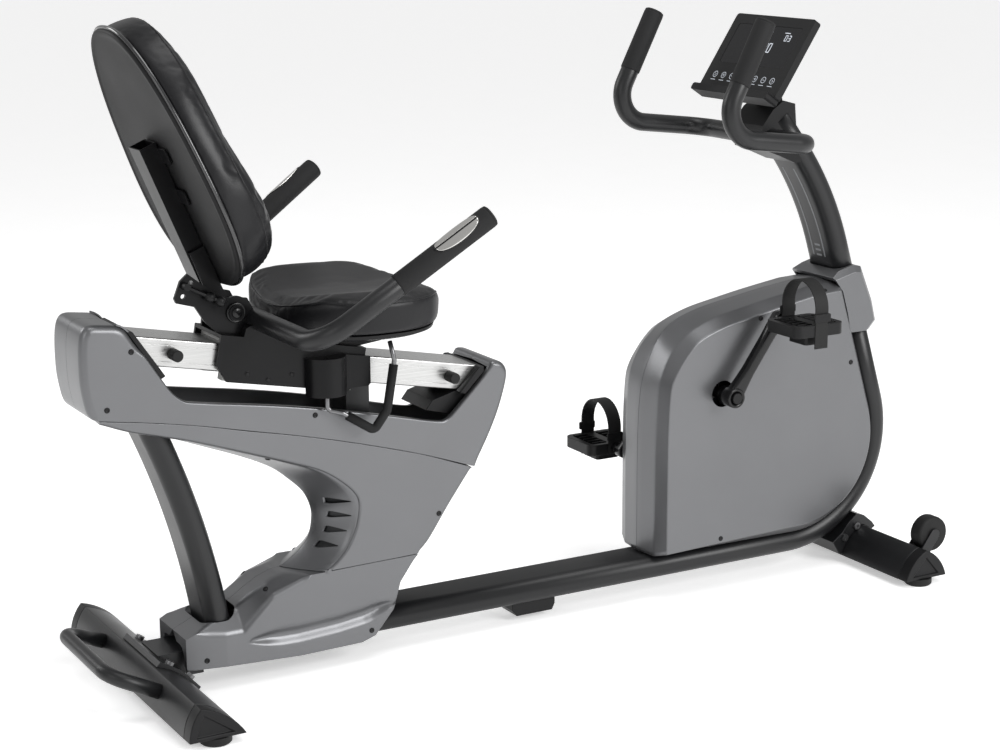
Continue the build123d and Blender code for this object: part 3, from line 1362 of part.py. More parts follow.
pivot_rel = Vector(PIVOT_X - BACK_C[0], 0, PIVOT_Z - BACK_C[2])
PIV_N, PIV_U = pivot_rel.dot(back_n), pivot_rel.dot(back_u)
with BuildPart() as backrest_frame:
    with BuildSketch(Plane(origin=Vector(*at(*BACK_C)) + back_u * -214 + back_n * -20, x_dir=(0, 1, 0), z_dir=back_u)):
        Rectangle(50, 30)
        Rectangle(45, 25, mode=Mode.SUBTRACT)
    extrude(amount=248)
    for y in (-25, 32):
        with BuildSketch(back_side(y)):
            with BuildLine():
                Polyline(
                    (PIV_N + 14, PIV_U + 6), (-5, -236), (-5.5, -226), (-5.5, -150), (-32, -150), (-34, -235),
                    (PIV_N - 14, PIV_U - 6), close=True,
                )
            make_face()
            with Locations((PIV_N, PIV_U)):
                Circle(16)
                Circle(PIVOT_PIN_R + RUN, mode=Mode.SUBTRACT)
        extrude(amount=7)
    for v in (-60, 12):
        with BuildSketch(back_plane(-8)):
            with Locations((0, v)):
                RectangleRounded(120, 26, 5)
                Rectangle(48, 40, mode=Mode.SUBTRACT)
        extrude(amount=3)
backrest_frame.part.label = "backrest_frame"
export_step(backrest_frame.part, "parts/backrest_frame.step")

with BuildPart() as backrest_shell:
    for d0, k0, d1, k1 in ((-4.9, 0.95, 0, 1.0), (0, 1.0, 5, 0.995)):
        with BuildSketch(back_plane(d0)):
            with BuildLine():
                Spline(*back_outline(k0), periodic=True)
            make_face()
        with BuildSketch(back_plane(d1)):
            with BuildLine():
                Spline(*back_outline(k1), periodic=True)
            make_face()
        loft(ruled=True)
backrest_shell.part.label = "backrest_shell"
export_step(backrest_shell.part, "parts/backrest_shell.step")

with BuildPart() as backrest_cushion:
    for d0, k0, d1, k1 in ((5.3, 0.955, 20, 0.975), (20, 0.975, 50, 0.965), (50, 0.965, 76, 0.85)):
        with BuildSketch(back_plane(d0)):
            with BuildLine():
                Spline(*back_outline(k0), periodic=True)
            make_face()
        with BuildSketch(back_plane(d1)):
            with BuildLine():
                Spline(*back_outline(k1), periodic=True)
            make_face()
        loft(ruled=True)
backrest_cushion.part.label = "backrest_cushion"
export_step(backrest_cushion.part, "parts/backrest_cushion.step")

# ---------------------------------------------------------------- levers
with BuildPart() as slide_lever:
    with BuildLine() as lv_path:
        FilletPolyline(
            *xyz(
                (LEVER_X, LEVER_Y, 544), (LEVER_X, LEVER_Y, 458), (-395, -92, 452), (-343, -102, 418),
                (-318, -102, 450), (-303, -102, 534), (-311, -102, 566),
            ),
            radius=9,
        )
    with BuildSketch(plan(544)):
        with Locations((LEVER_X, LEVER_Y)):
            Circle(4)
    sweep(path=lv_path.wires()[0])
    # foam sleeve on the rising limb
    g0 = Vector(*at(-318 + 15 * 10 / 84, -102, 460))
    g1 = Vector(*at(-318 + 15 * 76 / 84, -102, 526))
    with BuildSketch(Plane(origin=g0, z_dir=(g1 - g0).normalized())):
        Circle(8)
    extrude(amount=(g1 - g0).length)
slide_lever.part.label = "slide_lever"
export_step(slide_lever.part, "parts/slide_lever.step")

with BuildPart() as recline_lever:
    with BuildSketch(side(-40.3)):
        with Locations((-643, 682)):
            Circle(6)
    extrude(amount=14)
    r0, r1 = Vector(*at(-643, -48, 682)), Vector(*at(-585, -52, 652))
    rd = (r1 - r0).normalized()
    with BuildSketch(Plane(origin=r0, z_dir=rd)):
        Circle(3.5)
    extrude(amount=(r1 - r0).length)
    for t in (0.66, 0.96):
        knob = r0 + (r1 - r0) * t
        for d0, k0, d1, k1 in ((-8, 4.5, -5, 7.5), (-5, 7.5, 0, 8.8), (0, 8.8, 5, 7.5), (5, 7.5, 8, 4.5)):
            with BuildSketch(Plane(origin=knob + rd * d0, z_dir=rd)):
                Circle(k0)
            with BuildSketch(Plane(origin=knob + rd * d1, z_dir=rd)):
                Circle(k1)
            loft(ruled=True)
recline_lever.part.label = "recline_lever"
export_step(recline_lever.part, "parts/recline_lever.step")

# ---------------------------------------------------------------- transport wheels
WHEEL_X, WHEEL_Z, WHEEL_R = 780.0, 87.0, 34.0
WHEEL_Y0, WHEEL_Y1 = 186.0, 218.0
with BuildPart() as wheel_right:
    with BuildSketch(side(-WHEEL_Y0)):
        with Locations((WHEEL_X, WHEEL_Z)):
            Circle(WHEEL_R)
            Circle(5 + RUN, mode=Mode.SUBTRACT)
    extrude(amount=WHEEL_Y1 - WHEEL_Y0)
    chamfer(wheel_right.edges().filter_by(GeomType.CIRCLE).filter_by(lambda e: e.radius > 20), 4)
wheel_right.part.label = "wheel_right"
export_step(wheel_right.part, "parts/wheel_right.step")

with BuildPart() as wheel_left:
    add(mirror(wheel_right.part, about=Plane.XZ, mode=Mode.PRIVATE))
wheel_left.part.label = "wheel_left"
export_step(wheel_left.part, "parts/wheel_left.step")

# Cheek plates and axles for the wheels, welded to the front stabilizer.
with BuildPart() as wheel_brackets:
    for y in (-182, -218.5, 185, 221.5):
        with BuildSketch(side(y)):
            with Locations((WHEEL_X, WHEEL_Z)):
                Circle(11)
            with Locations((757, 56)):
                Circle(11)
            make_hull()
        extrude(amount=3)
    with BuildSketch(side(240)):
        with BuildLine():
            Line(FRONT_BACK, FRONT_FRONT)
            ThreePointArc(FRONT_FRONT, (770, 48), FRONT_APEX)
            ThreePointArc(FRONT_APEX, (709, 48), FRONT_BACK)
        make_face()
    extrude(amount=480, mode=Mode.SUBTRACT)
    for y in (-182, 221.5):
        with BuildSketch(side(y)):
            with Locations((WHEEL_X, WHEEL_Z)):
                Circle(5)
        extrude(amount=39.5)
wheel_brackets.part.label = "wheel_brackets"
export_step(wheel_brackets.part, "parts/wheel_brackets.step")
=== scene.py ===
import json
import math

import bmesh
import bpy
import numpy as np
from mathutils import Matrix, Vector


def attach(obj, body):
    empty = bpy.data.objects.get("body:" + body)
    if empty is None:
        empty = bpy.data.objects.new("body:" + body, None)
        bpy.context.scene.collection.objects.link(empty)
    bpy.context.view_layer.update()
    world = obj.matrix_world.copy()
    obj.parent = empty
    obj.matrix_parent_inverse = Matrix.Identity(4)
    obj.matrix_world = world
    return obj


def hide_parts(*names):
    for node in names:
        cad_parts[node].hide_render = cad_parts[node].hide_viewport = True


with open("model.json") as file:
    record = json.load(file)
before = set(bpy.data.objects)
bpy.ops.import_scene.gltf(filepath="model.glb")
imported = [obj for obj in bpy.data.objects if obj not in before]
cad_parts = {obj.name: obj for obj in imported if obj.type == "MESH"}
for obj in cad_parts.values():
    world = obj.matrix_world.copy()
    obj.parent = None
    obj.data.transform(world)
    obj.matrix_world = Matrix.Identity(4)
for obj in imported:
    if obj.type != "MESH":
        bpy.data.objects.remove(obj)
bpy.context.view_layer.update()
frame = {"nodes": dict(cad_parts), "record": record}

MID = 12.25
NODES, REC = frame["nodes"], frame["record"]
BODY = {n: b for b, ns in REC["behaviour"]["bodies"].items() for n in ns}


def W(x, y, z):
    """Millimetres from the mid-feet station to metres in the row frame."""
    return Vector(((x + MID) / 1000, y / 1000, z / 1000))


# ------------------------------------------------------------------ materials
def material(name, color, rough, metal=0.0, vary=0.05, scale=6.0, bump=0.0, bump_scale=500.0,
             fleck=0.0, coat=0.0, grain="noise", stretch=None, tilt=0.0, spec=0.5, wear=0.05):
    m = bpy.data.materials.new(name)
    m.use_nodes = True
    nt = m.node_tree
    b = nt.nodes["Principled BSDF"]
    b.inputs["Metallic"].default_value = metal
    b.inputs["Coat Weight"].default_value = coat
    b.inputs["Coat Roughness"].default_value = 0.18
    b.inputs["Specular IOR Level"].default_value = spec
    tc = nt.nodes.new("ShaderNodeTexCoord")
    mp = nt.nodes.new("ShaderNodeMapping")
    mp.inputs["Rotation"].default_value = (0, math.radians(tilt), 0)
    if stretch:
        mp.inputs["Scale"].default_value = stretch
    nt.links.new(tc.outputs["Object"], mp.inputs["Vector"])
    n1 = nt.nodes.new("ShaderNodeTexNoise")
    n1.inputs["Scale"].default_value = scale
    n1.inputs["Detail"].default_value = 4
    nt.links.new(mp.outputs["Vector"], n1.inputs["Vector"])
    ramp = nt.nodes.new("ShaderNodeValToRGB")
    ramp.color_ramp.elements[0].position = 0.3
    ramp.color_ramp.elements[1].position = 0.7
    ramp.color_ramp.elements[0].color = (*[c * (1 - vary) for c in color], 1)
    ramp.color_ramp.elements[1].color = (*[min(1, c * (1 + vary)) for c in color], 1)
    nt.links.new(n1.outputs["Fac"], ramp.inputs["Fac"])
    out = ramp.outputs["Color"]
    if fleck:
        n2 = nt.nodes.new("ShaderNodeTexNoise")
        n2.inputs["Scale"].default_value = 2600
        n2.inputs["Detail"].default_value = 1
        nt.links.new(tc.outputs["Object"], n2.inputs["Vector"])
        r2 = nt.nodes.new("ShaderNodeValToRGB")
        r2.color_ramp.elements[0].position = 0.42
        r2.color_ramp.elements[1].position = 0.7
        r2.color_ramp.elements[0].color = (1 - fleck,) * 3 + (1,)
        r2.color_ramp.elements[1].color = (1 + fleck,) * 3 + (1,)
        mx = nt.nodes.new("ShaderNodeMix")
        mx.data_type = "RGBA"
        mx.blend_type = "MULTIPLY"
        mx.inputs["Factor"].default_value = 1
        nt.links.new(out, mx.inputs["A"])
        nt.links.new(r2.outputs["Color"], mx.inputs["B"])
        out = mx.outputs["Result"]
    nt.links.new(out, b.inputs["Base Color"])
    mr = nt.nodes.new("ShaderNodeMapRange")
    mr.inputs["From Min"].default_value = 0.3
    mr.inputs["From Max"].default_value = 0.7
    mr.inputs["To Min"].default_value = max(0.02, rough - wear)
    mr.inputs["To Max"].default_value = min(1, rough + wear)
    nt.links.new(n1.outputs["Fac"], mr.inputs["Value"])
    nt.links.new(mr.outputs["Result"], b.inputs["Roughness"])
    if bump:
        if grain == "cells":
            t = nt.nodes.new("ShaderNodeTexVoronoi")
            t.feature = "DISTANCE_TO_EDGE"
            t.inputs["Scale"].default_value = bump_scale
            src = t.outputs["Distance"]
        else:
            t = nt.nodes.new("ShaderNodeTexNoise")
            t.inputs["Scale"].default_value = bump_scale
            t.inputs["Detail"].default_value = 3
            src = t.outputs["Fac"]
        nt.links.new(mp.outputs["Vector"], t.inputs["Vector"])
        bp = nt.nodes.new("ShaderNodeBump")
        bp.inputs["Strength"].default_value = bump
        bp.inputs["Distance"].default_value = 0.0004
        nt.links.new(src, bp.inputs["Height"])
        nt.links.new(bp.outputs["Normal"], b.inputs["Normal"])
    return m


SHELL = material("shell_grey", (0.158, 0.160, 0.166), 0.34, 0.70, fleck=0.14, bump=0.05, bump_scale=900, coat=0.10)
# darker copy of the shell finish: painted shade, used for the sheet behind the louvres (and on the throwaway cutters)
SHELL_SHADE = material("shell_painted_shade", (0.030, 0.031, 0.033), 0.42, 0.3, fleck=0.10, bump=0.05, bump_scale=900)
STEEL = material("black_powder", (0.0075, 0.0077, 0.0085), 0.36, bump=0.12, bump_scale=1400, spec=0.42)
BLACK = material("black_plastic", (0.006, 0.006, 0.0065), 0.44, bump=0.10, bump_scale=1200, spec=0.25)
FLAT = material("black_plate", (0.0045, 0.0045, 0.005), 0.34, bump=0.08, bump_scale=1300, spec=0.16, coat=0.06)
GLOSS = material("gloss_black", (0.004, 0.004, 0.0045), 0.22, coat=0.12, wear=0.03, spec=0.28)
RIMGLOSS = material("rolled_rim", (0.012, 0.012, 0.013), 0.14, coat=0.6, wear=0.03, spec=0.6)
TEXTURED = material("textured_shell", (0.0075, 0.0075, 0.008), 0.58, bump=0.35, bump_scale=700, spec=0.25, grain="cells")
HIDE = material("seat_vinyl", (0.006, 0.006, 0.007), 0.38, bump=0.22, bump_scale=520, grain="cells", spec=0.30)
FOAM = material("grip_foam", (0.009, 0.009, 0.0095), 0.70, bump=0.35, bump_scale=1500, spec=0.3)
RUBBER = material("rubber", (0.007, 0.007, 0.007), 0.60, bump=0.2, bump_scale=900, spec=0.3)
ALU = material("brushed_rail", (0.50, 0.50, 0.495), 0.33, 1.0, vary=0.14, scale=90, stretch=(0.12, 8, 8), tilt=-11, bump=0.12, bump_scale=260, wear=0.08)
CHROME = material("bright_plate", (0.66, 0.65, 0.63), 0.20, 1.0, vary=0.04, wear=0.05)
BOLT = material("bolt_steel", (0.20, 0.20, 0.205), 0.34, 1.0, vary=0.08, scale=60)
MSTEEL = material("machined_steel", (0.35, 0.35, 0.36), 0.32, 1.0, vary=0.08, scale=40, bump=0.05)
IRON = material("turned_iron", (0.09, 0.09, 0.095), 0.45, 0.8, vary=0.12, scale=30)
NYLON = material("nylon", (0.35, 0.35, 0.34), 0.5, bump=0.1)
SCREEN = material("display_window", (0.003, 0.003, 0.004), 0.22, wear=0.02, spec=0.35)
MARK = material("print_white", (0.42, 0.44, 0.48), 0.5)
mb = MARK.node_tree.nodes["Principled BSDF"]
mb.inputs["Emission Color"].default_value = (0.8, 0.86, 0.95, 1)
mb.inputs["Emission Strength"].default_value = 0.35
PALE = material("pale_plastic", (0.42, 0.43, 0.45), 0.45, bump=0.05)
PRINT = material("print_grey", (0.16, 0.165, 0.175), 0.45)


# ------------------------------------------------------------------ mesh tools
def new_object(name, verts, faces, mat, smooth=True):
    me = bpy.data.meshes.new(name)
    me.from_pydata([tuple(v) for v in verts], [], faces)
    me.validate()
    bm = bmesh.new()
    bm.from_mesh(me)
    bmesh.ops.recalc_face_normals(bm, faces=bm.faces)
    bm.to_mesh(me)
    bm.free()
    me.materials.append(mat)
    if smooth:
        me.polygons.foreach_set("use_smooth", [True] * len(me.polygons))
    o = bpy.data.objects.new(name, me)
    bpy.context.scene.collection.objects.link(o)
    return o


def soften(o, width, segs=3, angle=28):
    """Rounds the hard edges and evens out the shading of flat faces."""
    if width:
        m = o.modifiers.new("bevel", "BEVEL")
        m.width = width / 1000
        m.segments = segs
        m.limit_method = "ANGLE"
        m.angle_limit = math.radians(angle)
        m.use_clamp_overlap = True
    w = o.modifiers.new("normals", "WEIGHTED_NORMAL")
    w.keep_sharp = True
    w.weight = 80
    return o


def own(o, body, *nodes, slot=None):
    if nodes:
        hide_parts(*nodes)
    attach(o, body)
    return o


def dress(node, mat, width=0.8, segs=2, angle=30):
    """A cleaned copy of a hard CAD piece with rounded edges and its material."""
    me = NODES[node].data.copy()
    bm = bmesh.new()
    bm.from_mesh(me)
    bmesh.ops.remove_doubles(bm, verts=bm.verts, dist=2e-5)
    bmesh.ops.dissolve_limit(bm, angle_limit=math.radians(0.6), verts=bm.verts, edges=bm.edges)
    bm.to_mesh(me)
    bm.free()
    for att in ("custom_normal", "sharp_edge", "sharp_face"):
        if att in me.attributes:
            me.attributes.remove(me.attributes[att])
    me.materials.clear()
    me.materials.append(mat)
    me.polygons.foreach_set("use_smooth", [True] * len(me.polygons))
    o = bpy.data.objects.new("v_" + node, me)
    bpy.context.scene.collection.objects.link(o)
    if not width:
        me.set_sharp_from_angle(angle=math.radians(angle))
    soften(o, width, segs, angle)
    own(o, BODY[node], node, slot=node)
    return o


def loft(name, loops, mat, caps=True):
    """Joins loops of equal length; each loop is a list of Vectors."""
    n = len(loops[0])
    verts = [v for lp in loops for v in lp]
    faces = []
    for k in range(len(loops) - 1):
        for i in range(n):
            j = (i + 1) % n
            faces.append((k * n + i, k * n + j, (k + 1) * n + j, (k + 1) * n + i))
    if caps:
        faces.append(tuple(range(n)))
        faces.append(tuple((len(loops) - 1) * n + i for i in range(n)))
    return new_object(name, verts, faces, mat)


def spline(points, count):
    """Even points along a Catmull-Rom curve through the given points."""
    p = [np.array(q, float) for q in points]
    p = [2 * p[0] - p[1]] + p + [2 * p[-1] - p[-2]]
    fine = []
    for i in range(1, len(p) - 2):
        for t in np.linspace(0, 1, 24, endpoint=False):
            a, b, c, d = p[i - 1:i + 3]
            fine.append(0.5 * ((2 * b) + (c - a) * t + (2 * a - 5 * b + 4 * c - d) * t * t
                               + (3 * b - a - 3 * c + d) * t ** 3))
    fine.append(p[-2])
    fine = np.array(fine)
    s = np.concatenate([[0], np.cumsum(np.linalg.norm(np.diff(fine, axis=0), axis=1))])
    u = np.linspace(0, s[-1], count)
    return np.stack([np.interp(u, s, fine[:, k]) for k in range(fine.shape[1])], axis=1)


def straight(a, b, count):
    return np.linspace(np.array(a, float), np.array(b, float), count)


def filleted(points, radii, seg=14):
    """Path through points with rounded corners."""
    pts = [Vector(p) for p in points]
    out = [pts[0]]
    for i in range(1, len(pts) - 1):
        a, b, c = pts[i - 1], pts[i], pts[i + 1]
        u, v = (a - b).normalized(), (c - b).normalized()
        half = u.angle(v) / 2
        r = radii[i - 1]
        d = r / math.tan(half)
        centre = b + (u + v).normalized() * (r / math.sin(half))
        s, e = b + u * d - centre, b + v * d - centre
        total = s.angle(e)
        for k in range(seg + 1):
            t = k / seg
            w = (s * math.sin((1 - t) * total) + e * math.sin(t * total)) / math.sin(total)
            out.append(centre + w)
    out.append(pts[-1])
    return out


def sweep(name, path, profile, mat, side=None, scales=None):
    """Sweeps a closed profile of (a, b) in millimetres along a path in millimetres."""
    loops = []
    t0 = (path[1] - path[0]).normalized()
    n = side.copy() if side else t0.orthogonal().normalized()
    prev = t0
    for i, p in enumerate(path):
        if i == 0:
            t = t0
        elif i == len(path) - 1:
            t = (path[-1] - path[-2]).normalized()
        else:
            t = ((path[i + 1] - p).normalized() + (p - path[i - 1]).normalized()).normalized()
        if side:
            n = side
        else:
            n = prev.rotation_difference(t) @ n
            n = (n - t * n.dot(t)).normalized()
        b = t.cross(n).normalized()
        prev = t
        k = scales[i] if scales else 1.0
        loops.append([W(*(p + n * (a * k) + b * (c * k))) for a, c in profile])
    return loft(name, loops, mat)


def circle(r, n=36):
    return [(r * math.cos(2 * math.pi * i / n), r * math.sin(2 * math.pi * i / n)) for i in range(n)]


def oval(w, t, n=16):
    pts = []
    for k in range(n + 1):
        a = -math.pi / 2 + math.pi * k / n
        pts.append(((w - t) / 2 + t / 2 * math.cos(a), t / 2 * math.sin(a)))
    for k in range(n + 1):
        a = math.pi / 2 + math.pi * k / n
        pts.append((-(w - t) / 2 + t / 2 * math.cos(a), t / 2 * math.sin(a)))
    return pts


def rounded_box(w, h, r, n=8):
    pts = []
    for qx, qy, a0 in ((1, 1, 0), (-1, 1, 90), (-1, -1, 180), (1, -1, 270)):
        for k in range(n + 1):
            a = math.radians(a0 + 90 * k / n)
            pts.append((qx * (w / 2 - r) + r * math.cos(a), qy * (h / 2 - r) + r * math.sin(a)))
    return pts


def superellipse(a, b, n, count):
    pts = []
    for i in range(count):
        t = 2 * math.pi * i / count
        c, s = math.cos(t), math.sin(t)
        pts.append((a * math.copysign(abs(c) ** (2 / n), c), b * math.copysign(abs(s) ** (2 / n), s)))
    return pts


def even_loop(points, count):
    """Even arc-length points round a closed 2-D outline."""
    p = np.array(points + [points[0]], float)
    s = np.concatenate([[0], np.cumsum(np.linalg.norm(np.diff(p, axis=0), axis=1))])
    u = np.linspace(0, s[-1], count, endpoint=False)
    return np.stack([np.interp(u, s, p[:, k]) for k in range(2)], axis=1)


# ------------------------------------------------------------------ frame tubes
lean = math.radians(17)
BX, BZ, BR = 573.0, 262.0, 204.0
corner_x = BX + BR * math.tan(math.radians(45 + 8.5))


def mast_x(z):
    return corner_x - (z - 58.0) * math.tan(lean)


path = filleted([(-636, 0, 58), (corner_x, 0, 58), (mast_x(545), 0, 545)], [BR], 40)
own(sweep("v_main_frame_tube", path, oval(100, 44), STEEL, side=Vector((0, 1, 0))), "frame", "main_frame_tube",
    slot="main_frame_tube")
path = filleted([(mast_x(546), 0, 546), (641.2, 0, 736.3), (528.9, 0, 880)], [600], 30)
own(sweep("v_console_mast", path, oval(100, 44), STEEL, side=Vector((0, 1, 0))), "frame", "console_mast",
    slot="console_mast")

for node, mat, width in (
    ("rear_post", STEEL, 0.8), ("rail_front_upright", STEEL, 1.0), ("rear_stabilizer", STEEL, 1.5),
    ("front_stabilizer", STEEL, 1.5), ("stabilizer_end_caps", BLACK, 2.0), ("levelling_feet", RUBBER, 1.0),
    ("centre_foot", BLACK, 1.5), ("rear_link_bracket", STEEL, 1.0), ("front_link_bracket", STEEL, 1.2),
    ("stabilizer_bolts", BOLT, 0.6), ("seat_rail", ALU, 0.7), ("rail_stop_bumpers", RUBBER, 0.6),
    ("rail_end_trims", BLACK, 1.2), ("drive_frame", STEEL, 0.5),
    ("bearings_and_pins", MSTEEL, 0.3), ("drive_belt", RUBBER, 0.2), ("wheel_brackets", STEEL, 0.5),
    ("drive_pulley", BLACK, 0.5), ("flywheel", IRON, 0.8), ("brake_yoke", STEEL, 0.5),
    ("crank_spindles", BLACK, 0.8), ("carriage_glides", NYLON, 0.6), ("seat_pan", BLACK, 0.8),
    ("handlebar_clamp", BLACK, 2.5),
    ("seat_carriage", FLAT, 0.9), ("backrest_frame", FLAT, 1.5), ("recline_lever", BLACK, 0.6),
    ("collar_cover", SHELL, 2.5), ("pedal_right", BLACK, 1.2), ("pedal_left", BLACK, 1.2),
    ("pedal_strap_right", RUBBER, 0.25), ("pedal_strap_left", RUBBER, 0.25), ("console_housing", BLACK, 1.5),
):
    dress(node, mat, width)

# ------------------------------------------------------------------ rear covers
HALF = 70.0


def soft_outline(points, wants, step=3.0):
    """Closed outline with every corner rounded by up to its wanted length."""
    pts = [np.array(p, float) for p in points]
    n = len(pts)
    dense, tag = [], []
    for i in range(n):
        a, v, b = pts[i - 1], pts[i], pts[(i + 1) % n]
        la, lb = np.linalg.norm(a - v), np.linalg.norm(b - v)
        w = wants[i]
        ca, cb = v + (a - v) / la * min(w, 0.495 * la), v + (b - v) / lb * min(w, 0.495 * lb)
        for t in np.linspace(0, 1, 9):
            dense.append((1 - t) ** 2 * ca + 2 * t * (1 - t) * v + t * t * cb)
            tag.append(float(i))
    p = np.array(dense + [dense[0]])
    s_ = np.concatenate([[0], np.cumsum(np.linalg.norm(np.diff(p, axis=0), axis=1))])
    count = int(s_[-1] / step)
    u = np.linspace(0, s_[-1], count, endpoint=False)
    loop = np.stack([np.interp(u, s_, p[:, k]) for k in range(2)], axis=1)
    idx = np.clip(np.searchsorted(s_, u, side="right") - 1, 0, len(tag) - 1)
    return loop, np.array(tag)[idx].astype(int)


def blur(v, n):
    for _ in range(n):
        v = (np.roll(v, 1) + 2 * v + np.roll(v, -1)) / 4
    return v


def outward(loop):
    nxt, prv = np.roll(loop, -1, 0), np.roll(loop, 1, 0)
    t = nxt - prv
    t /= np.maximum(np.linalg.norm(t, axis=1)[:, None], 1e-9)
    n = np.stack([t[:, 1], -t[:, 0]], axis=1)
    area_ = np.sum(loop[:, 0] * nxt[:, 1] - nxt[:, 0] * loop[:, 1])
    return n if area_ > 0 else -n


def fill_ring(bm, ring):
    edges = [bm.edges.get((ring[i], ring[(i + 1) % len(ring)])) for i in range(len(ring))]
    return bmesh.ops.triangle_fill(bm, use_beauty=True, edges=edges)["geom"]


def skin(name, loops, fill_last=True):
    """Shell surface from loops of (x, y, z) rows in millimetres, closed at the last loop."""
    n = len(loops[0])
    o = loft(name, [[W(*p) for p in lp] for lp in loops], SHELL, caps=False)
    if fill_last:
        bm = bmesh.new()
        bm.from_mesh(o.data)
        bm.verts.ensure_lookup_table()
        fill_ring(bm, [bm.verts[(len(loops) - 1) * n + i] for i in range(n)])
        bmesh.ops.recalc_face_normals(bm, faces=bm.faces)
        bm.to_mesh(o.data)
        bm.free()
        o.data.polygons.foreach_set("use_smooth", [True] * len(o.data.polygons))
    return o


def prism(name, outline, frame_fn, d0, d1):
    """Closed cutter: outline in 2-D, frame_fn(a, b, d) gives the point."""
    n = len(outline)
    v = [frame_fn(a_, b_, d) for d in (d0, d1) for a_, b_ in outline]
    f = [tuple(range(n)), tuple(reversed(range(n, 2 * n)))] + [(i, (i + 1) % n, (i + 1) % n + n, i + n) for i in range(n)]
    return new_object(name, v, f, SHELL_SHADE, smooth=False)


def thicken_and_cut(o, wall, cutters, solver="EXACT"):
    so = o.modifiers.new("wall", "SOLIDIFY")
    so.thickness = wall / 1000
    so.offset = -1
    for c in cutters:
        bo = o.modifiers.new("cut", "BOOLEAN")
        bo.object = c
        bo.operation = "DIFFERENCE"
        bo.solver = solver
    bpy.context.view_layer.update()
    me = bpy.data.meshes.new_from_object(o.evaluated_get(bpy.context.evaluated_depsgraph_get()))
    o.modifiers.clear()
    o.data = me
    for c in cutters:
        bpy.data.objects.remove(c)
    o.data.polygons.foreach_set("use_smooth", [True] * len(o.data.polygons))
    o.data.set_sharp_from_angle(angle=math.radians(38))
    soften(o, 0)


MID_SEAM = [(-806, 487), (-722, 474), (-638, 458), (-553, 438), (-464, 418), (-374, 395), (-281, 368), (-224, 350),
            (-136, 318)]
REAR = [(-812, 487), (-821, 497), (-827, 526), (-830, 551), (-830, 592), (-828, 616), (-824, 631), (-814, 641)]
TOP = [(-757, 634), (-700, 545), (-683, 518), (-663, 501), (-648, 497), (-462, 468), (-297, 430), (-202, 406),
       (-187, 408), (-172, 421), (-104, 486), (-100, 501)]
FRONT = [(-80, 499), (-68, 486), (-67, 466), (-84, 412), (-105, 367), (-131, 322)]
pts = REAR + TOP + FRONT + MID_SEAM[::-1]
big = 400.0
wants = [6] + [big] * 6 + [14] + [16] + [big] * 10 + [7] + [12] + [16] + [big] * 3 + [4] + [4] + [big] * 7 + [4]
assert len(wants) == len(pts), (len(wants), len(pts))
loop, tag = soft_outline(pts, wants)
nR, nT, nF = len(REAR), len(TOP), len(FRONT)
wall_f = np.array([1.0 if (t < nR or nR + nT <= t < nR + nT + nF) else 0.0 for t in tag])
wall_f = np.where((tag == nR + nT - 1), 1.0, wall_f)
wall_f = np.where(blur(wall_f, 3) > 0.25, 1.0, 0.0)
rad = blur(np.array([13.0 if t < nR + 1 else (3.6 if t < nR + nT - 1 else (10.0 if t < nR + nT + nF else 0.8)) for t in tag]), 14)
rad = np.minimum(rad, np.where(np.isin(tag, list(range(nR + nT + nF, len(pts)))), 0.9, 99))
y_in = np.where(wall_f > 0.5, 0.35, HALF - 3.2 - 2.4)
y_in = np.where((wall_f < 0.5) & (tag >= nR + 1) & (tag < nR + nT - 1), 60.0, y_in)
norm = outward(loop)
for sgn, nm in ((-1, "right"), (1, "left")):
    loops = []
    for f in (0.0, 0.35, 0.7, 1.0):
        yy = y_in + (HALF - rad - y_in) * f
        loops.append([(loop[i, 0], sgn * yy[i], loop[i, 1]) for i in range(len(loop))])
    for k in range(1, 8):
        th = math.radians(90 * k / 7)
        loops.append([(loop[i, 0] - norm[i, 0] * rad[i] * (1 - math.cos(th)), sgn * (HALF - rad[i] * (1 - math.sin(th))),
                       loop[i, 1] - norm[i, 1] * rad[i] * (1 - math.cos(th))) for i in range(len(loop))])
    o = skin("v_rail_cover_" + nm, loops)
    thicken_and_cut(o, 2.6, [])
    own(o, "frame", "rail_cover_" + nm, slot="rail_cover_" + nm)

# neck: the scoop behind runs from the side edge back to a ridge on the centre line
N_SIDE = [(-804, 481), (-756, 462), (-706, 448), (-656, 434), (-606, 417), (-554, 399), (-484, 374), (-430, 353),
          (-394, 330), (-367, 305), (-358, 283), (-363, 248), (-378, 215), (-398, 192), (-417, 178), (-424, 175)]
N_RIDGE = [(-800, 481), (-740, 456), (-700, 440), (-660, 424), (-612, 405), (-542, 377), (-489, 351), (-454, 323),
           (-430, 298), (-418, 270), (-417, 247), (-423, 221), (-439, 200), (-458, 185), (-472, 177), (-478, 175)]
N_FRONT = [(-248, 178), (-225, 200), (-185, 257), (-140, 317)]
seam_dn = [(x, z - 1.0) for x, z in MID_SEAM][1:-1][::-1]
cnt = 150
rs, rr_ = spline(N_SIDE, cnt), spline(N_RIDGE, cnt)
fr = spline([N_SIDE[-1], (-330, 176.5), N_FRONT[0]], 50)[1:]
fr2 = spline([N_RIDGE[-1], (-340, 176.5), N_FRONT[0]], 50)[1:]
tail = np.vstack([spline(N_FRONT, 60)[1:], spline([N_FRONT[-1]] + seam_dn + [(-804, 486)], 200)[1:]])
side_l, ridge_l = np.vstack([rs, fr, tail]), np.vstack([rr_, fr2, tail])
m = len(side_l)
kind = np.array(["scoop"] * cnt + ["bottom"] * 49 + ["front"] * 59 + ["seam"] * (m - cnt - 108))
scoop = np.isin(kind, ["scoop"]).astype(float)
front = (kind == "front").astype(float)
rad = np.where(kind == "scoop", 5.0, np.where(kind == "front", 7.0, 0.8))
rad = np.where(np.isin(kind, ["bottom", "seam"]), 0.8, blur(rad, 6))
norm = outward(side_l)
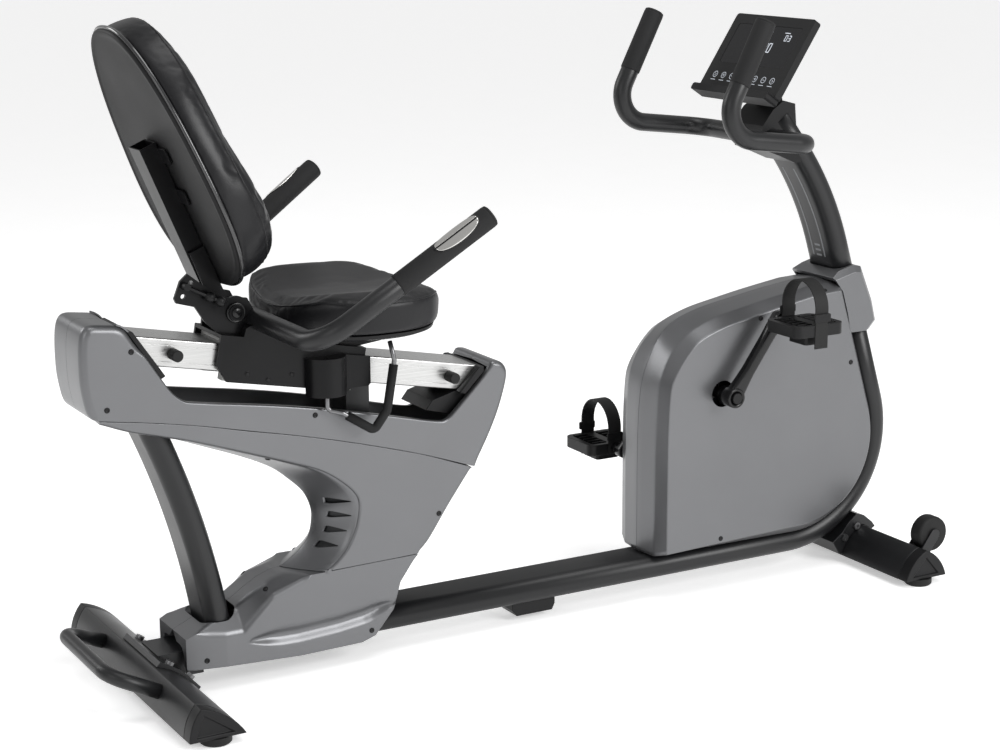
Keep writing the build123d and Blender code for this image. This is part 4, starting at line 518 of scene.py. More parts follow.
for sgn, nm in ((-1, "right"), (1, "left")):
    loops = []
    for f in (0.0, 0.05, 0.12, 0.2, 0.3, 0.4, 0.5, 0.6, 0.7, 0.8, 0.9, 1.0):
        row = []
        for i in range(m):
            y0 = 0.35 if kind[i] in ("scoop", "front") else HALF - 4.0
            y = y0 + (HALF - rad[i] - y0) * f
            g = (y / HALF)
            g = g ** 1.22 if kind[i] == "scoop" else 1.0
            if kind[i] == "scoop":
                x, z = ridge_l[i] * (1 - g) + side_l[i] * g
            else:
                x, z = side_l[i]
            row.append((x, sgn * y, z))
        loops.append(row)
    for k in range(1, 7):
        th = math.radians(90 * k / 6)
        loops.append([(side_l[i, 0] - norm[i, 0] * rad[i] * (1 - math.cos(th)), sgn * (HALF - rad[i] * (1 - math.sin(th))),
                       side_l[i, 1] - norm[i, 1] * rad[i] * (1 - math.cos(th))) for i in range(m)])
    o = skin("v_neck_cover_" + nm, loops)
    cutters = []
    # post opening
    cutters.append(prism("c_post", [(-760, -28), (-664, -28), (-664, 28), (-760, 28)], lambda a_, b_, d: W(a_, b_, d), 380, 470))
    # four tapered louvres, pointed towards the side
    for j, (zc, yc) in enumerate(((287, 41), (262, 41), (236, 39), (211, 36))):
        tear = [(yc - 17, zc - 5.5), (yc - 15, zc + 4.5), (yc - 8, zc + 5.5), (yc + 6, zc + 3.6), (yc + 19, zc + 1.2),
                (yc + 19, zc - 0.4), (yc + 4, zc - 3.6), (yc - 8, zc - 6.0)]
        cutters.append(prism("c_l%d" % j, tear, lambda a_, b_, d: W(d, sgn * a_, b_), -470, -352))
    thicken_and_cut(o, 2.6, cutters)
    own(o, "frame", "neck_cover_" + nm, slot="neck_cover_" + nm)
# dark sheet behind the louvres: painted shade standing in for the shadowed inside of the cover
for sgn, nm in ((-1, "right"), (1, "left")):
    loops = []
    for f in (0.08, 0.5, 0.86):
        g = f ** 1.22
        sub = ridge_l[95:150] * (1 - g) + side_l[95:150] * g
        loops.append([W(x + 9, sgn * HALF * f, z) for x, z in sub])
    verts = [v for lp in loops for v in lp]
    q = len(loops[0])
    faces = [(k * q + i, k * q + i + 1, (k + 1) * q + i + 1, (k + 1) * q + i) for k in range(2) for i in range(q - 1)]
    own(new_object("v_louvre_shade_sheet_" + nm, verts, faces, SHELL_SHADE), "frame", slot="neck_cover_" + nm)

# base: sections along the beam with a fading shoulder and a long swept hollow
B_TOP = [(-674, 97), (-640, 112), (-573, 132), (-542, 152), (-518, 165), (-495, 173), (-479, 174), (-424, 174),
         (-379, 175), (-323, 176), (-249, 177)]
B_BOT = [(-674, 42), (-607, 40), (-562, 38), (-471, 34), (-358, 36), (-330, 45), (-296, 84), (-283, 130), (-249, 176)]


def track(pts_, x):
    return float(np.interp(x, [p[0] for p in pts_], [p[1] for p in pts_]))


def shoulder(x):
    """Inner and outer edge height of the sloping shoulder at station x, and where it ends."""
    zi = track([(-700, 134), (-574, 134), (-521, 166), (-436, 184), (-200, 184)], x)
    zo = track([(-700, 54.7), (-574, 54.7), (-521, 130), (-436, 176), (-200, 176)], x)
    return zi, (zi - zo) / 76.0


SWOOSH = [(-556, 77), (-474, 75), (-400, 79), (-352, 85), (-306, 96)]
xs = np.concatenate([np.linspace(-674, -480, 78), np.linspace(-477.5, -249.5, 92)])
for sgn, nm in ((-1, "right"), (1, "left")):
    rows = []
    for x in xs:
        zt, zb = track(B_TOP, x), track(B_BOT, x)
        wd = min(HALF, 58 + (x + 700) * 14 / 110)
        zi, sl = shoulder(x)
        z_at = lambda y: zi - sl * (y - 34)
        poly = [(0.35, zt)]
        if z_at(34) < zt:
            yb = 34.0
        else:
            yb = min(wd, 34 + (z_at(34) - zt) / max(sl, 1e-6))
        poly.append((min(yb, wd), min(zt, max(zb + 0.5, z_at(yb)))))
        poly.append((wd, max(zb + 0.6, min(zt, z_at(wd)))))
        poly.append((wd, zb))
        front_wall = x > -330
        if front_wall:
            y_end = 51.2 if zb < 82 else 0.6
        else:
            y_end = wd - 4
        poly.append((y_end, zb))
        # round the two shoulder corners
        dense = [np.array(poly[0])]
        for a_, v_, b_, w_ in ((poly[0], poly[1], poly[2], 7), (poly[1], poly[2], poly[3], 9), (poly[2], poly[3], poly[4], 2.5 if not front_wall else 7)):
            a_, v_, b_ = np.array(a_, float), np.array(v_, float), np.array(b_, float)
            la, lb = np.linalg.norm(a_ - v_), np.linalg.norm(b_ - v_)
            if la < 1e-6 or lb < 1e-6:
                dense += [v_] * 7
                continue
            ca, cb = v_ + (a_ - v_) / la * min(w_, 0.49 * la), v_ + (b_ - v_) / lb * min(w_, 0.49 * lb)
            dense += [(1 - t) ** 2 * ca + 2 * t * (1 - t) * v_ + t * t * cb for t in np.linspace(0, 1, 7)]
        dense.append(np.array(poly[-1], float))
        d = np.array(dense)
        # fixed numbers of points on top, shoulder, side and bottom keep the rows aligned
        def piece_(i0, i1, count):
            p = d[i0:i1 + 1]
            s_ = np.concatenate([[0], np.cumsum(np.linalg.norm(np.diff(p, axis=0), axis=1))])
            if s_[-1] < 1e-9:
                return np.repeat(p[:1], count, axis=0)
            u = np.linspace(0, s_[-1], count)
            return np.stack([np.interp(u, s_, p[:, k]) for k in range(2)], axis=1)
        row = np.vstack([piece_(0, 1, 8)[:-1], d[1:8][:-1], piece_(7, 8, 10)[:-1], d[8:15][:-1], piece_(14, 15, 44)[:-1],
                         d[15:22][:-1], piece_(21, 22, 6)])
        out = []
        for y, z in row:
            if y > wd - 1.2:
                zc = track(SWOOSH, x)
                hh = 15.5 * max(0.0, min(1, (x + 566) / 60)) ** 0.5 * max(0.0, min(1, (-292 - x) / 46)) ** 0.6 + 1e-3
                q = (z - zc) / hh
                if abs(q) < 1.25 and -566 < x < -292:
                    prof = math.cos(min(1, abs(q) / 1.25) * math.pi / 2) ** 2
                    y -= 8.5 * prof * min(1, hh / 12)
            out.append(W(x, sgn * y, z))
        rows.append(out)
    q = len(rows[0])
    verts = [v for r_ in rows for v in r_]
    faces = [(k * q + i, k * q + i + 1, (k + 1) * q + i + 1, (k + 1) * q + i) for k in range(len(rows) - 1) for i in range(q - 1)]
    # nose wall above the beam
    faces.append(tuple(range(q)))
    o = new_object("v_base_cover_" + nm, verts, faces, SHELL)
    beam = [(yy, 58 + zz) for yy, zz in oval(101.6, 45.6, 12)]
    cutters = [prism("c_beam", beam, lambda a_, b_, d: W(d, a_, b_), -700, -240),
               prism("c_post", [(a_ * 1.0, b_) for a_, b_ in rounded_box(62, 106, 24)], lambda a_, b_, d: W(-607 + a_, b_, d), 84, 200),
               prism("c_plate", [(-43, 20), (43, 20), (43, 78), (-43, 78)], lambda a_, b_, d: W(d, a_, b_), -690, -580)]
    thicken_and_cut(o, 2.2, cutters)
    own(o, "frame", "base_cover_" + nm, slot="base_cover_" + nm)

# ------------------------------------------------------------------ drive covers
SEAM = [(246, 84), (246, 250), (247, 320), (250, 373), (256, 412), (271, 452), (294, 490), (327, 516),
        (382, 533), (450, 545), (519, 556), (600, 566)]
RIM = [(252, 84), (252, 250), (254, 340), (258, 401), (266, 430), (283, 462), (306, 486), (332, 505),
       (385, 524), (450, 537), (519, 549), (600, 561)]
PANEL = [(263, 92), (263, 250), (264, 340), (268, 400), (275, 424), (290, 448), (310, 472), (336, 492),
         (388, 510), (452, 522), (520, 535), (598, 548)]


def housing(points, gap, z_top):
    r = BR - 22 - gap
    x0, z0 = BX + r * math.cos(lean), BZ + r * math.sin(lean)
    xt = x0 - (z_top - z0) * math.tan(lean)
    a = spline(points, 90)
    t = straight(points[-1], (xt, z_top), 14)[1:-1]
    b = straight((xt, z_top), (x0, z0), 20)
    arc = np.array([(BX + r * math.cos(k), BZ + r * math.sin(k)) for k in np.linspace(lean, -math.pi / 2, 50)])
    c = straight((BX, BZ - r), points[0], 30)[1:-1]
    return np.vstack([a, t, b[:-1], arc, c])


seam, rim, panel = housing(SEAM, 0.8, 569), housing(RIM, 0.8, 564), housing(PANEL, 22, 551)


def inset(loop, d):
    """Moves a closed loop inwards by d."""
    nxt, prv = np.roll(loop, -1, 0), np.roll(loop, 1, 0)
    t = nxt - prv
    t /= np.maximum(np.linalg.norm(t, axis=1)[:, None], 1e-9)
    n = np.stack([-t[:, 1], t[:, 0]], axis=1)
    area = np.sum(loop[:, 0] * nxt[:, 1] - nxt[:, 0] * loop[:, 1])
    return loop + n * (d if area > 0 else -d)


for sgn, side_name in ((-1, "right"), (1, "left")):
    loops = []
    for y, ring in (
        (0.35, inset(seam, 1.2)), (0.6, seam), (16, seam * 0.68 + rim * 0.32), (32, seam * 0.35 + rim * 0.65),
        (45.5, seam * 0.08 + rim * 0.92), (48.4, seam * 0.02 + rim * 0.98), (49.8, inset(rim, 0.4)),
        (51.0, rim * 0.95 + panel * 0.05), (53.0, rim * 0.87 + panel * 0.13), (60, rim * 0.62 + panel * 0.38),
        (67, rim * 0.36 + panel * 0.64), (73.5, rim * 0.12 + panel * 0.88), (76, rim * 0.04 + panel * 0.96),
        (77.4, inset(panel, 0.6)), (78, inset(panel, 2.6)),
    ):
        loops.append([W(x, sgn * y, z) for x, z in ring])
    o = loft("v_drive_cover_" + side_name, loops, SHELL, caps=False)
    bm = bmesh.new()
    bm.from_mesh(o.data)
    outer = [v for v in bm.verts if abs(abs(v.co.y) - 0.078) < 1e-6]
    n = len(panel)
    bm.verts.ensure_lookup_table()
    ring = [bm.verts[(len(loops) - 1) * n + i] for i in range(n)]
    hub = W(383, sgn * 78, 384)
    hole = [bm.verts.new(W(383 + 25 * math.cos(2 * math.pi * k / 48), sgn * 78, 384 + 25 * math.sin(2 * math.pi * k / 48)))
            for k in range(48)]
    edges = [bm.edges.get((ring[i], ring[(i + 1) % n])) for i in range(n)]
    edges += [bm.edges.new((hole[k], hole[(k + 1) % 48])) for k in range(48)]
    bmesh.ops.triangle_fill(bm, use_beauty=True, edges=edges)
    bmesh.ops.dissolve_limit(bm, angle_limit=0.01, verts=bm.verts, edges=[e for e in bm.edges if all(abs(abs(v.co.y) - 0.078) < 1e-6 for v in e.verts)])
    bmesh.ops.recalc_face_normals(bm, faces=bm.faces)
    bm.to_mesh(o.data)
    bm.free()
    o.data.polygons.foreach_set("use_smooth", [True] * len(o.data.polygons))
    # thickness inwards, and the cut for the collar
    so = o.modifiers.new("wall", "SOLIDIFY")
    so.thickness = 0.0025
    so.offset = -1
    cutter = new_object("cut_" + side_name, [W(x, y, z) for y in (-90, 90) for x, z in
                        ((641, 640), (641, 572.5), (662.5, 545.5), (676.5, 499.5), (683.5, 463), (780, 463), (780, 640))],
                        [(0, 1, 2, 3, 4, 5, 6), (13, 12, 11, 10, 9, 8, 7)] + [(i, (i + 1) % 7, (i + 1) % 7 + 7, i + 7) for i in range(7)],
                        SHELL, smooth=False)
    cutter.hide_render = True
    cutter.display_type = "WIRE"
    bo = o.modifiers.new("cut", "BOOLEAN")
    bo.object = cutter
    bo.operation = "DIFFERENCE"
    bo.solver = "EXACT"
    bpy.context.view_layer.update()
    dg = bpy.context.evaluated_depsgraph_get()
    me = bpy.data.meshes.new_from_object(o.evaluated_get(dg))
    o.modifiers.clear()
    o.data = me
    bpy.data.objects.remove(cutter)
    soften(o, 0)
    own(o, "frame", "drive_cover_" + side_name, slot="drive_cover_" + side_name)

# ------------------------------------------------------------------ bars and grips
path = filleted([(388.4, -175, 1061.9), (291, -175, 871), (505, -175, 845), (505, 175, 845), (291, 175, 871),
                 (388.4, 175, 1061.9)], [54, 46, 46, 54], 18)
own(sweep("v_handlebar", path, circle(17), STEEL), "frame", "handlebar", slot="handlebar")
tip, bend = Vector((392, 0, 1069)), Vector((291, 0, 871))
gd = (bend - tip).normalized()


def grip(name, start, d, length, mat, r=18.5):
    """Foam sleeve with a domed end plug; start and d in millimetres."""
    prof = [(0, r * 0.55), (0.6, r * 0.8), (2.2, r * 0.95), (4.5, r * 0.985), (5.2, r * 0.93), (5.9, r * 0.985), (8, r)]
    prof += [(length - 3, r), (length - 0.8, r * 0.985), (length, r * 0.935)]
    n0 = d.orthogonal().normalized()
    b0 = d.cross(n0)
    loops = []
    for s, rr in prof:
        c = start + d * s
        loops.append([W(*(c + (n0 * math.cos(2 * math.pi * k / 40) + b0 * math.sin(2 * math.pi * k / 40)) * rr))
                      for k in range(40)])
    return loft(name, loops, mat)


for k, y in enumerate((-175, 175)):
    g = grip("v_handlebar_grip_%d" % k, Vector((392, y, 1069)), gd, 122, FOAM)
    own(g, "frame", *(["handlebar_grips"] if k == 0 else []), slot="handlebar_grips")

st = Vector((-243, 331, 803))
sc = Vector((-522, 285, 616))
for k, sg in enumerate((-1, 1)):
    t, c = Vector((st.x, st.y * sg, st.z)), Vector((sc.x, sc.y * sg, sc.z))
    d = (c - t).normalized()
    g = grip("v_side_grip_%d" % k, t, d, 185, FOAM)
    own(g, "carriage", *(["side_handlebar_grips"] if k == 0 else []), slot="side_handlebar_grips")
    # oval hand sensor: two long bright pads with a dark strip between them
    h = d.cross(Vector((0, 0, 1))).normalized()
    u = h.cross(d).normalized()
    if u.z < 0:
        u = -u
    if h.y * sg < 0:
        h = -h
    turn = math.radians(38)
    u, h = u * math.cos(turn) + h * math.sin(turn), h * math.cos(turn) - u * math.sin(turn)

    def pad(name, lo_, hi_, a_in, a_out, mat, r1):
        loops_ = []
        mid_, hl = (lo_ + hi_) / 2, (hi_ - lo_) / 2
        for i in range(33):
            s_ = lo_ + (hi_ - lo_) * i / 32
            w_ = math.sqrt(max(0.0, 1 - (abs(s_ - mid_) / hl) ** 2.1))
            a0, a1 = math.radians(a_in), math.radians(a_in + (a_out - a_in) * w_) + (0.01 if a_out > 0 else -0.01)
            if "bed" in name:
                a0 = -a1
            ring = []
            for j in range(13):
                aa = a0 + (a1 - a0) * j / 12
                rr_ = r1 - (0.4 if j in (0, 12) else 0)
                ring.append(t + d * s_ + (u * math.cos(aa) + h * math.sin(aa)) * rr_)
            for j in range(13):
                aa = a1 + (a0 - a1) * j / 12
                ring.append(t + d * s_ + (u * math.cos(aa) + h * math.sin(aa)) * 18.2)
            loops_.append([W(*v) for v in ring])
        return loft(name, loops_, mat)

    own(pad("v_sensor_bed_%d" % k, 21, 109, 0, 56, BLACK, 19.3), "carriage", slot="pulse_sensors")
    own(pad("v_sensor_a_%d" % k, 24, 106, 4.5, 46, CHROME, 20.0), "carriage",
        *(["pulse_sensors"] if k == 0 else []), slot="pulse_sensors")
    own(pad("v_sensor_b_%d" % k, 24, 106, -4.5, -46, CHROME, 20.0), "carriage", slot="pulse_sensors")
path = filleted([(-247.9, -330.2, 799.7), (-522, -285, 616), (-522, 285, 616), (-247.9, 330.2, 799.7)], [66, 66], 22)
own(sweep("v_side_handlebar", path, circle(17), STEEL), "carriage", "side_handlebar", slot="side_handlebar")
path = filleted([(-748, -135, 47), (-826, -114, 82), (-826, 114, 82), (-748, 135, 47)], [38, 38], 16)
own(sweep("v_rear_carry_handle", path, circle(12.5), STEEL), "frame", "rear_carry_handle", slot="rear_carry_handle")

# adjustment lever: bright rod with a foam sleeve
path = filleted([(-418, -82, 544), (-418, -82, 458), (-395, -92, 452), (-343, -102, 418), (-318, -102, 450),
                 (-303, -102, 534), (-311, -102, 566)], [9, 6, 9, 9, 9], 8)
own(sweep("v_slide_lever", path, circle(4, 20), BOLT), "slide_lever", "slide_lever", slot="slide_lever")
p2 = filleted([(-395, -92, 452), (-343, -102, 418), (-318, -102, 450), (-304.5, -102, 526)], [9, 9], 8)
p2[0] = Vector((-387, -93.5, 446.8))
own(sweep("v_slide_lever_sleeve", p2, circle(7.6, 24), FOAM), "slide_lever", slot="slide_lever")

def disc(name, centre, axis, r, h, mat, body, slot, n=6):
    """Bolt head with a small chamfer and a washer under it."""
    u_ = axis.orthogonal().normalized()
    v_ = axis.cross(u_)
    loops_ = []
    for d_, k_, sides in ((0, 1.35, 0), (h * 0.22, 1.35, 0), (h * 0.24, 1.0, 1), (h * 0.8, 1.0, 1), (h, 0.86, 1)):
        ring = []
        for i in range(24):
            a_ = 2 * math.pi * i / 24
            q_ = 1.0
            if sides and n == 6:
                q_ = math.cos(math.pi / 6) / math.cos((a_ % (math.pi / 3)) - math.pi / 6)
            ring.append(W(*(centre + axis * d_ + (u_ * math.cos(a_) + v_ * math.sin(a_)) * r * k_ * q_)))
        loops_.append(ring)
    o_ = loft(name, loops_, mat)
    soften(o_, 0)
    own(o_, body, slot=slot)


ca, sa = math.cos(math.radians(11)), math.sin(math.radians(11))
for sg in (-1, 1):
    for j, (x, z) in enumerate(((-548, 530), (-512, 516), (-470, 520), (-440, 506))):
        disc("v_carriage_bolt_%d_%d" % (j, sg + 1), Vector((x, 58 * sg, z)), Vector((0, sg, 0)), 3.4, 2.2, BLACK, "carriage",
             "seat_carriage")

# ------------------------------------------------------------------ crank arms
for sg, nm, px, pz in ((-1, "crank_arm_right", 383 + 170 * math.cos(math.radians(54.3)), 384 + 170 * math.sin(math.radians(54.3))),
                       (1, "crank_arm_left", 383 - 170 * math.cos(math.radians(54.3)), 384 - 170 * math.sin(math.radians(54.3)))):
    ax = Vector((px - 383, 0, pz - 384)).normalized()
    ac = Vector((-ax.z, 0, ax.x))
    half = []
    for i in range(15):
        t = math.pi - (math.pi - 1.05) * i / 14
        half.append((18.5 * math.cos(t), 18.5 * math.sin(t)))
    for i in range(1, 16):
        u_ = i / 16
        half.append((9.25 + (158 - 9.25) * u_, 16.0 + (11.2 - 16.0) * min(1, u_ * 3.2) ** 0.8 + 1.6 * max(0, u_ - 0.8) / 0.2))
    for i in range(13):
        t = 1.45 * (1 - i / 12)
        half.append((170 + 13.4 * math.cos(t) * 1.0, 13.4 * math.sin(t)))
    ring = half + [(a_, -b_) for a_, b_ in reversed(half[1:-1])]
    ring = [tuple(q) for q in inset(np.array(ring), 0.0)]
    loops = []
    for y, dd in ((100.2, 1.6), (101.2, 0.5), (103, 0), (112.5, 0), (115.5, 0.9), (117.2, 2.6), (117.9, 4.8)):
        rr_ = inset(np.array(ring), dd) if dd else np.array(ring)
        loops.append([W(*(Vector((383, sg * y, 384)) + ax * a_ + ac * b_)) for a_, b_ in rr_])
    own(loft("v_" + nm, loops, GLOSS), "crank", nm, slot=nm)
    for c_, r_, y0, y1 in ((Vector((383, 0, 384)), 18.5, 85, 121.5), (Vector((px, 0, pz)), 12.5, 101, 121.6)):
        prof = [(y0, r_ - 1), (y0 + 1, r_), (y1 - 2, r_), (y1 - 0.6, r_ - 0.7), (y1, r_ - 2.2), (y1 - 0.4, r_ - 5.5), (y1 - 1.6, r_ - 6)]
        loops = [[W(*(c_ + Vector((q * math.cos(2 * math.pi * k / 40), sg * y, q * math.sin(2 * math.pi * k / 40)))))
                  for k in range(40)] for y, q in prof]
        own(loft("v_boss_%s_%d" % (nm, int(r_)), loops, GLOSS), "crank", slot=nm)
    # buckle on the outer leg of the strap and a clip on the inner one
    for y_c, th_ in ((238.6, 2.0), (136.0, 1.2)):
        w2, zc = 17.5, 22
        v_ = []
        for dy in (-th_, th_):
            v_ += [W(px + a_, sg * (y_c + dy), pz + zc + b_) for a_, b_ in rounded_box(2 * w2, 15, 3, 4)]
        q_ = len(v_) // 2
        ob = new_object("v_buckle_%s_%d" % (nm, int(y_c)), v_, [tuple(range(q_)), tuple(reversed(range(q_, 2 * q_)))]
                        + [(i, (i + 1) % q_, (i + 1) % q_ + q_, i + q_) for i in range(q_)], BLACK)
        soften(ob, 0.7)
        own(ob, nm.replace("crank_arm", "pedal"), slot=nm.replace("crank_arm", "pedal_strap"))

# recline pivot: a ringed hub on each side of the carriage ears
for sg in (-1, 1):
    prof = [(40.2, 17), (43.5, 17), (44.6, 16), (44.8, 13.4), (43.4, 12.6), (43.4, 9.6), (45.2, 8.6), (47.0, 8.2), (47.8, 7.0)]
    c_ = Vector((-557, 0, 630))
    loops = [[W(*(c_ + Vector((q * math.cos(2 * math.pi * k / 40), sg * y, q * math.sin(2 * math.pi * k / 40)))))
              for k in range(40)] for y, q in prof]
    own(loft("v_recline_hub_%d" % (sg + 1), loops, GLOSS), "carriage", slot="seat_carriage")

# cover screws: small domed heads with a round recess, seated square to the surface below
first = True
DRIVE_SCREWS = [(465, 517), (619, 553), (679, 409), (383, 105)]
REAR_SCREWS = [(-747, 592), (-791, 503), (-435, 449), (-207, 244), (-525, 156), (-340, 55), (-640, 56), (-517, 382)]
for sg, nm in ((-1, "right"), (1, "left")):
    for group, names in ((DRIVE_SCREWS, ("v_drive_cover_", "v_collar_cover")), (REAR_SCREWS, ("v_rail_cover_", "v_neck_cover_", "v_base_cover_"))):
        for j, (x, z) in enumerate(group):
            best = None
            for c_ in names:
                ob = bpy.data.objects.get(c_ + nm) or bpy.data.objects.get(c_)
                if ob is None:
                    continue
                hit = ob.ray_cast(W(x, sg * 300, z), Vector((0, -sg, 0)))
                if hit[0] and (best is None or abs(hit[1].y) > abs(best[0].y)):
                    best = (hit[1].copy(), hit[2].copy())
            if best is None:
                continue
            pt, nn = best
            if nn.y * sg < 0:
                nn = -nn
            c_ = Vector((pt.x * 1000 - MID, pt.y * 1000, pt.z * 1000))
            u_ = nn.orthogonal().normalized()
            v_ = nn.cross(u_)
            loops = []
            for d_, r_ in ((-1.0, 4.7), (0.5, 4.7), (1.1, 4.3), (1.3, 3.7), (1.25, 3.0), (0.7, 2.6), (0.7, 1.0)):
                loops.append([W(*(c_ + nn * d_ + (u_ * math.cos(2 * math.pi * k / 24) + v_ * math.sin(2 * math.pi * k / 24)) * r_))
                              for k in range(24)])
            ob = loft("v_screw_%s_%d_%d" % (nm, len(group), j), loops, BLACK)
            own(ob, "frame", *(["cover_screws"] if first else []), slot="cover_screws")
            first = False

# ------------------------------------------------------------------ transport wheels
for sg, nm in ((-1, "wheel_right"), (1, "wheel_left")):
    rings = [(187, 14), (186.6, 20), (187.5, 27), (187, 30.5), (189.5, 33.2), (193, 34), (211, 34), (214.5, 33.2),
             (217, 30.5), (216.5, 27), (217.4, 20), (217, 14)]
    loops = [[W(780 + r * math.cos(2 * math.pi * k / 48), sg * y, 87 + r * math.sin(2 * math.pi * k / 48))
              for k in range(48)] for y, r in rings]
    own(loft("v_" + nm, loops, RUBBER), nm, nm, slot=nm)

# ------------------------------------------------------------------ cushions
def simulate(o, pinned, cap, frames=20, pressure=4.0):
    """Fills a closed cover with air pressure; the pinned part stays on its board."""
    base = np.array([v.co for v in o.data.vertices])
    vg = o.vertex_groups.new(name="pin")
    vg.add([i for i, v in enumerate(o.data.vertices) if pinned(v.co)], 1.0, "REPLACE")
    m = o.modifiers.new("cloth", "CLOTH")
    s = m.settings
    s.quality = 6
    s.mass = 0.3
    s.tension_stiffness = s.compression_stiffness = 25
    s.shear_stiffness = 15
    s.bending_stiffness = 2.0
    s.use_pressure = True
    s.uniform_pressure_force = pressure
    s.vertex_group_mass = "pin"
    s.effector_weights.gravity = 0
    m.collision_settings.use_collision = False
    m.point_cache.frame_start, m.point_cache.frame_end = 1, frames
    sc_ = bpy.context.scene
    for f in range(1, frames + 1):
        sc_.frame_set(f)
    dg = bpy.context.evaluated_depsgraph_get()
    ev = o.evaluated_get(dg).to_mesh()
    now = np.array([v.co for v in ev.vertices])
    o.evaluated_get(dg).to_mesh_clear()
    o.modifiers.remove(m)
    d = now - base
    ln = np.linalg.norm(d, axis=1)
    k = np.where(ln > cap, cap / np.maximum(ln, 1e-9), 1.0)
    res = base + d * k[:, None]
    o.data.vertices.foreach_set("co", res.ravel().astype(np.float32))
    o.data.update()
    sc_.frame_set(1)
    return float(ln.max())


def remesh(o, size):
    m = o.modifiers.new("remesh", "REMESH")
    m.mode = "VOXEL"
    m.voxel_size = size
    dg = bpy.context.evaluated_depsgraph_get()
    me = bpy.data.meshes.new_from_object(o.evaluated_get(dg))
    mats = list(o.data.materials)
    o.modifiers.clear()
    o.data = me
    me.materials.clear()
    for x in mats:
        me.materials.append(x)
    me.polygons.foreach_set("use_smooth", [True] * len(me.polygons))


def finish_cushion(o):
    sm = o.modifiers.new("relax", "SMOOTH")
    sm.factor, sm.iterations = 0.5, 2
    sub = o.modifiers.new("sub", "SUBSURF")
    sub.levels = sub.render_levels = 1
    dg = bpy.context.evaluated_depsgraph_get()
    me = bpy.data.meshes.new_from_object(o.evaluated_get(dg))
    o.modifiers.clear()
    o.data = me
    me.polygons.foreach_set("use_smooth", [True] * len(me.polygons))


SX, SA, SB = -348.0, 142.0, 195.0


def seat_top(x, y):
    """Height of the saddle-shaped top above the pan at plan position x, y."""
    fx, fy = (x - SX) / SA, y / SB
    r = min(1.0, (abs(fx) ** 2.4 + abs(fy) ** 2.4) ** (1 / 2.4))
    dish = 637 + 20 * min(1, max(0, (abs(fy) - 0.12) / 0.62)) ** 1.3 * (1 - 0.15 * fx)
    dish += 7 * max(0, fx - 0.25) * (1 - abs(fy) * 0.4)
    dish += 4 * max(0, -fx - 0.45)
    edge = max(0.0, (r - 0.86) / 0.14)
    return dish - 5.5 * edge ** 2.0


NP = 112
out2d = even_loop(superellipse(SA, SB, 2.4, 360), NP)
loops = []
for z, k in ((598.5, 0.925), (600, 0.955), (606, 0.978), (614, 0.986)):
    loops.append([W(SX + x * k, y * k, z) for x, y in out2d])
for f, k in ((0.35, 0.990), (0.7, 0.992), (0.93, 0.988)):
    loops.append([W(SX + x * k, y * k, 614 + (seat_top(SX + x * 0.98, y * 0.98) - 614) * f) for x, y in out2d])
for k in (0.975, 0.95, 0.92, 0.87, 0.8, 0.7, 0.56, 0.4, 0.22, 0.08):
    loops.append([W(SX + x * k, y * k, seat_top(SX + x * k, y * k)) for x, y in out2d])
seat = loft("v_seat_cushion", loops, HIDE)
remesh(seat, 0.0042)
print("seat cloth moved", simulate(seat, lambda c: c.z < 0.606, 0.007))
# seam groove round the top panel
for v in seat.data.vertices:
    x, y, z = v.co.x * 1000 - MID, v.co.y * 1000, v.co.z * 1000
    r = (abs((x - SX) / SA) ** 2.4 + abs(y / SB) ** 2.4) ** (1 / 2.4)
    crease = seat_top(SX + (x - SX) / max(r, 0.01) * 0.95, y / max(r, 0.01) * 0.95)
    if r > 0.93:
        q = math.exp(-((z - (crease - 2)) / 2.6) ** 2)
        v.co.x -= (x - SX) / 1000 * 0.012 * q
        v.co.y -= y / 1000 * 0.010 * q
finish_cushion(seat)
path = [Vector((SX + x * 0.984, y * 0.984, seat_top(SX + x * 0.984, y * 0.984) - 0.6)) for x, y in out2d]


def on_cover(ob, q, sink):
    """Nearest point of a finished cushion to q (millimetres), sunk a little."""
    hit = ob.closest_point_on_mesh(W(*q))
    c_ = hit[1] - hit[2] * (sink / 1000)
    return Vector((c_.x * 1000 - MID, c_.y * 1000, c_.z * 1000))


def bead(name, pts_, r, mat, body, slot):
    """Closed round cord through the points, in millimetres."""
    n = len(pts_)
    loops_ = []
    for i in range(n):
        t = (pts_[(i + 1) % n] - pts_[i - 1]).normalized()
        c = sum(pts_, Vector()) / n
        o_ = pts_[i] - c
        o_ = (o_ - t * o_.dot(t)).normalized()
        b_ = t.cross(o_)
        loops_.append([W(*(pts_[i] + (o_ * math.cos(2 * math.pi * k / 12) + b_ * math.sin(2 * math.pi * k / 12)) * r))
                       for k in range(12)])
    verts_ = [v for lp in loops_ for v in lp]
    faces_ = [(i * 12 + k, i * 12 + (k + 1) % 12, ((i + 1) % n) * 12 + (k + 1) % 12, ((i + 1) % n) * 12 + k)
              for i in range(n) for k in range(12)]
    ob = new_object(name, verts_, faces_, mat)
    own(ob, body, slot=slot)
    return ob


path = [on_cover(seat, q, 0.4) for q in path]
bead("v_seat_piping", path, 1.9, HIDE, "carriage", "seat_cushion")
own(seat, "carriage", "seat_cushion", slot="seat_cushion")

TILT = math.radians(22.6)
BC = Vector((-657, 0, 883))
bn = Vector((math.cos(TILT), 0, math.sin(TILT)))
bu = Vector((-math.sin(TILT), 0, math.cos(TILT)))
BH, BW = 225.0, 172.0


def back_pt(x, v, d):
    """x across, v up the back, d forward of the rim plane."""
    return W(*(BC + Vector((0, 1, 0)) * x + bu * v + bn * d))


shape = even_loop([(u * (1 - 0.2 * v / BH), v) for v, u in superellipse(BH, BW, 2.5, 360)], 120)


def back_front(x, v):
    """Front profile of the back cushion: a little lumbar swell, hollow across."""
    return 65 + 6 * math.exp(-((v + 130) / 70) ** 2) - 7 * math.exp(-((v - 50) / 100) ** 2) + 6 * (x / BW) ** 2


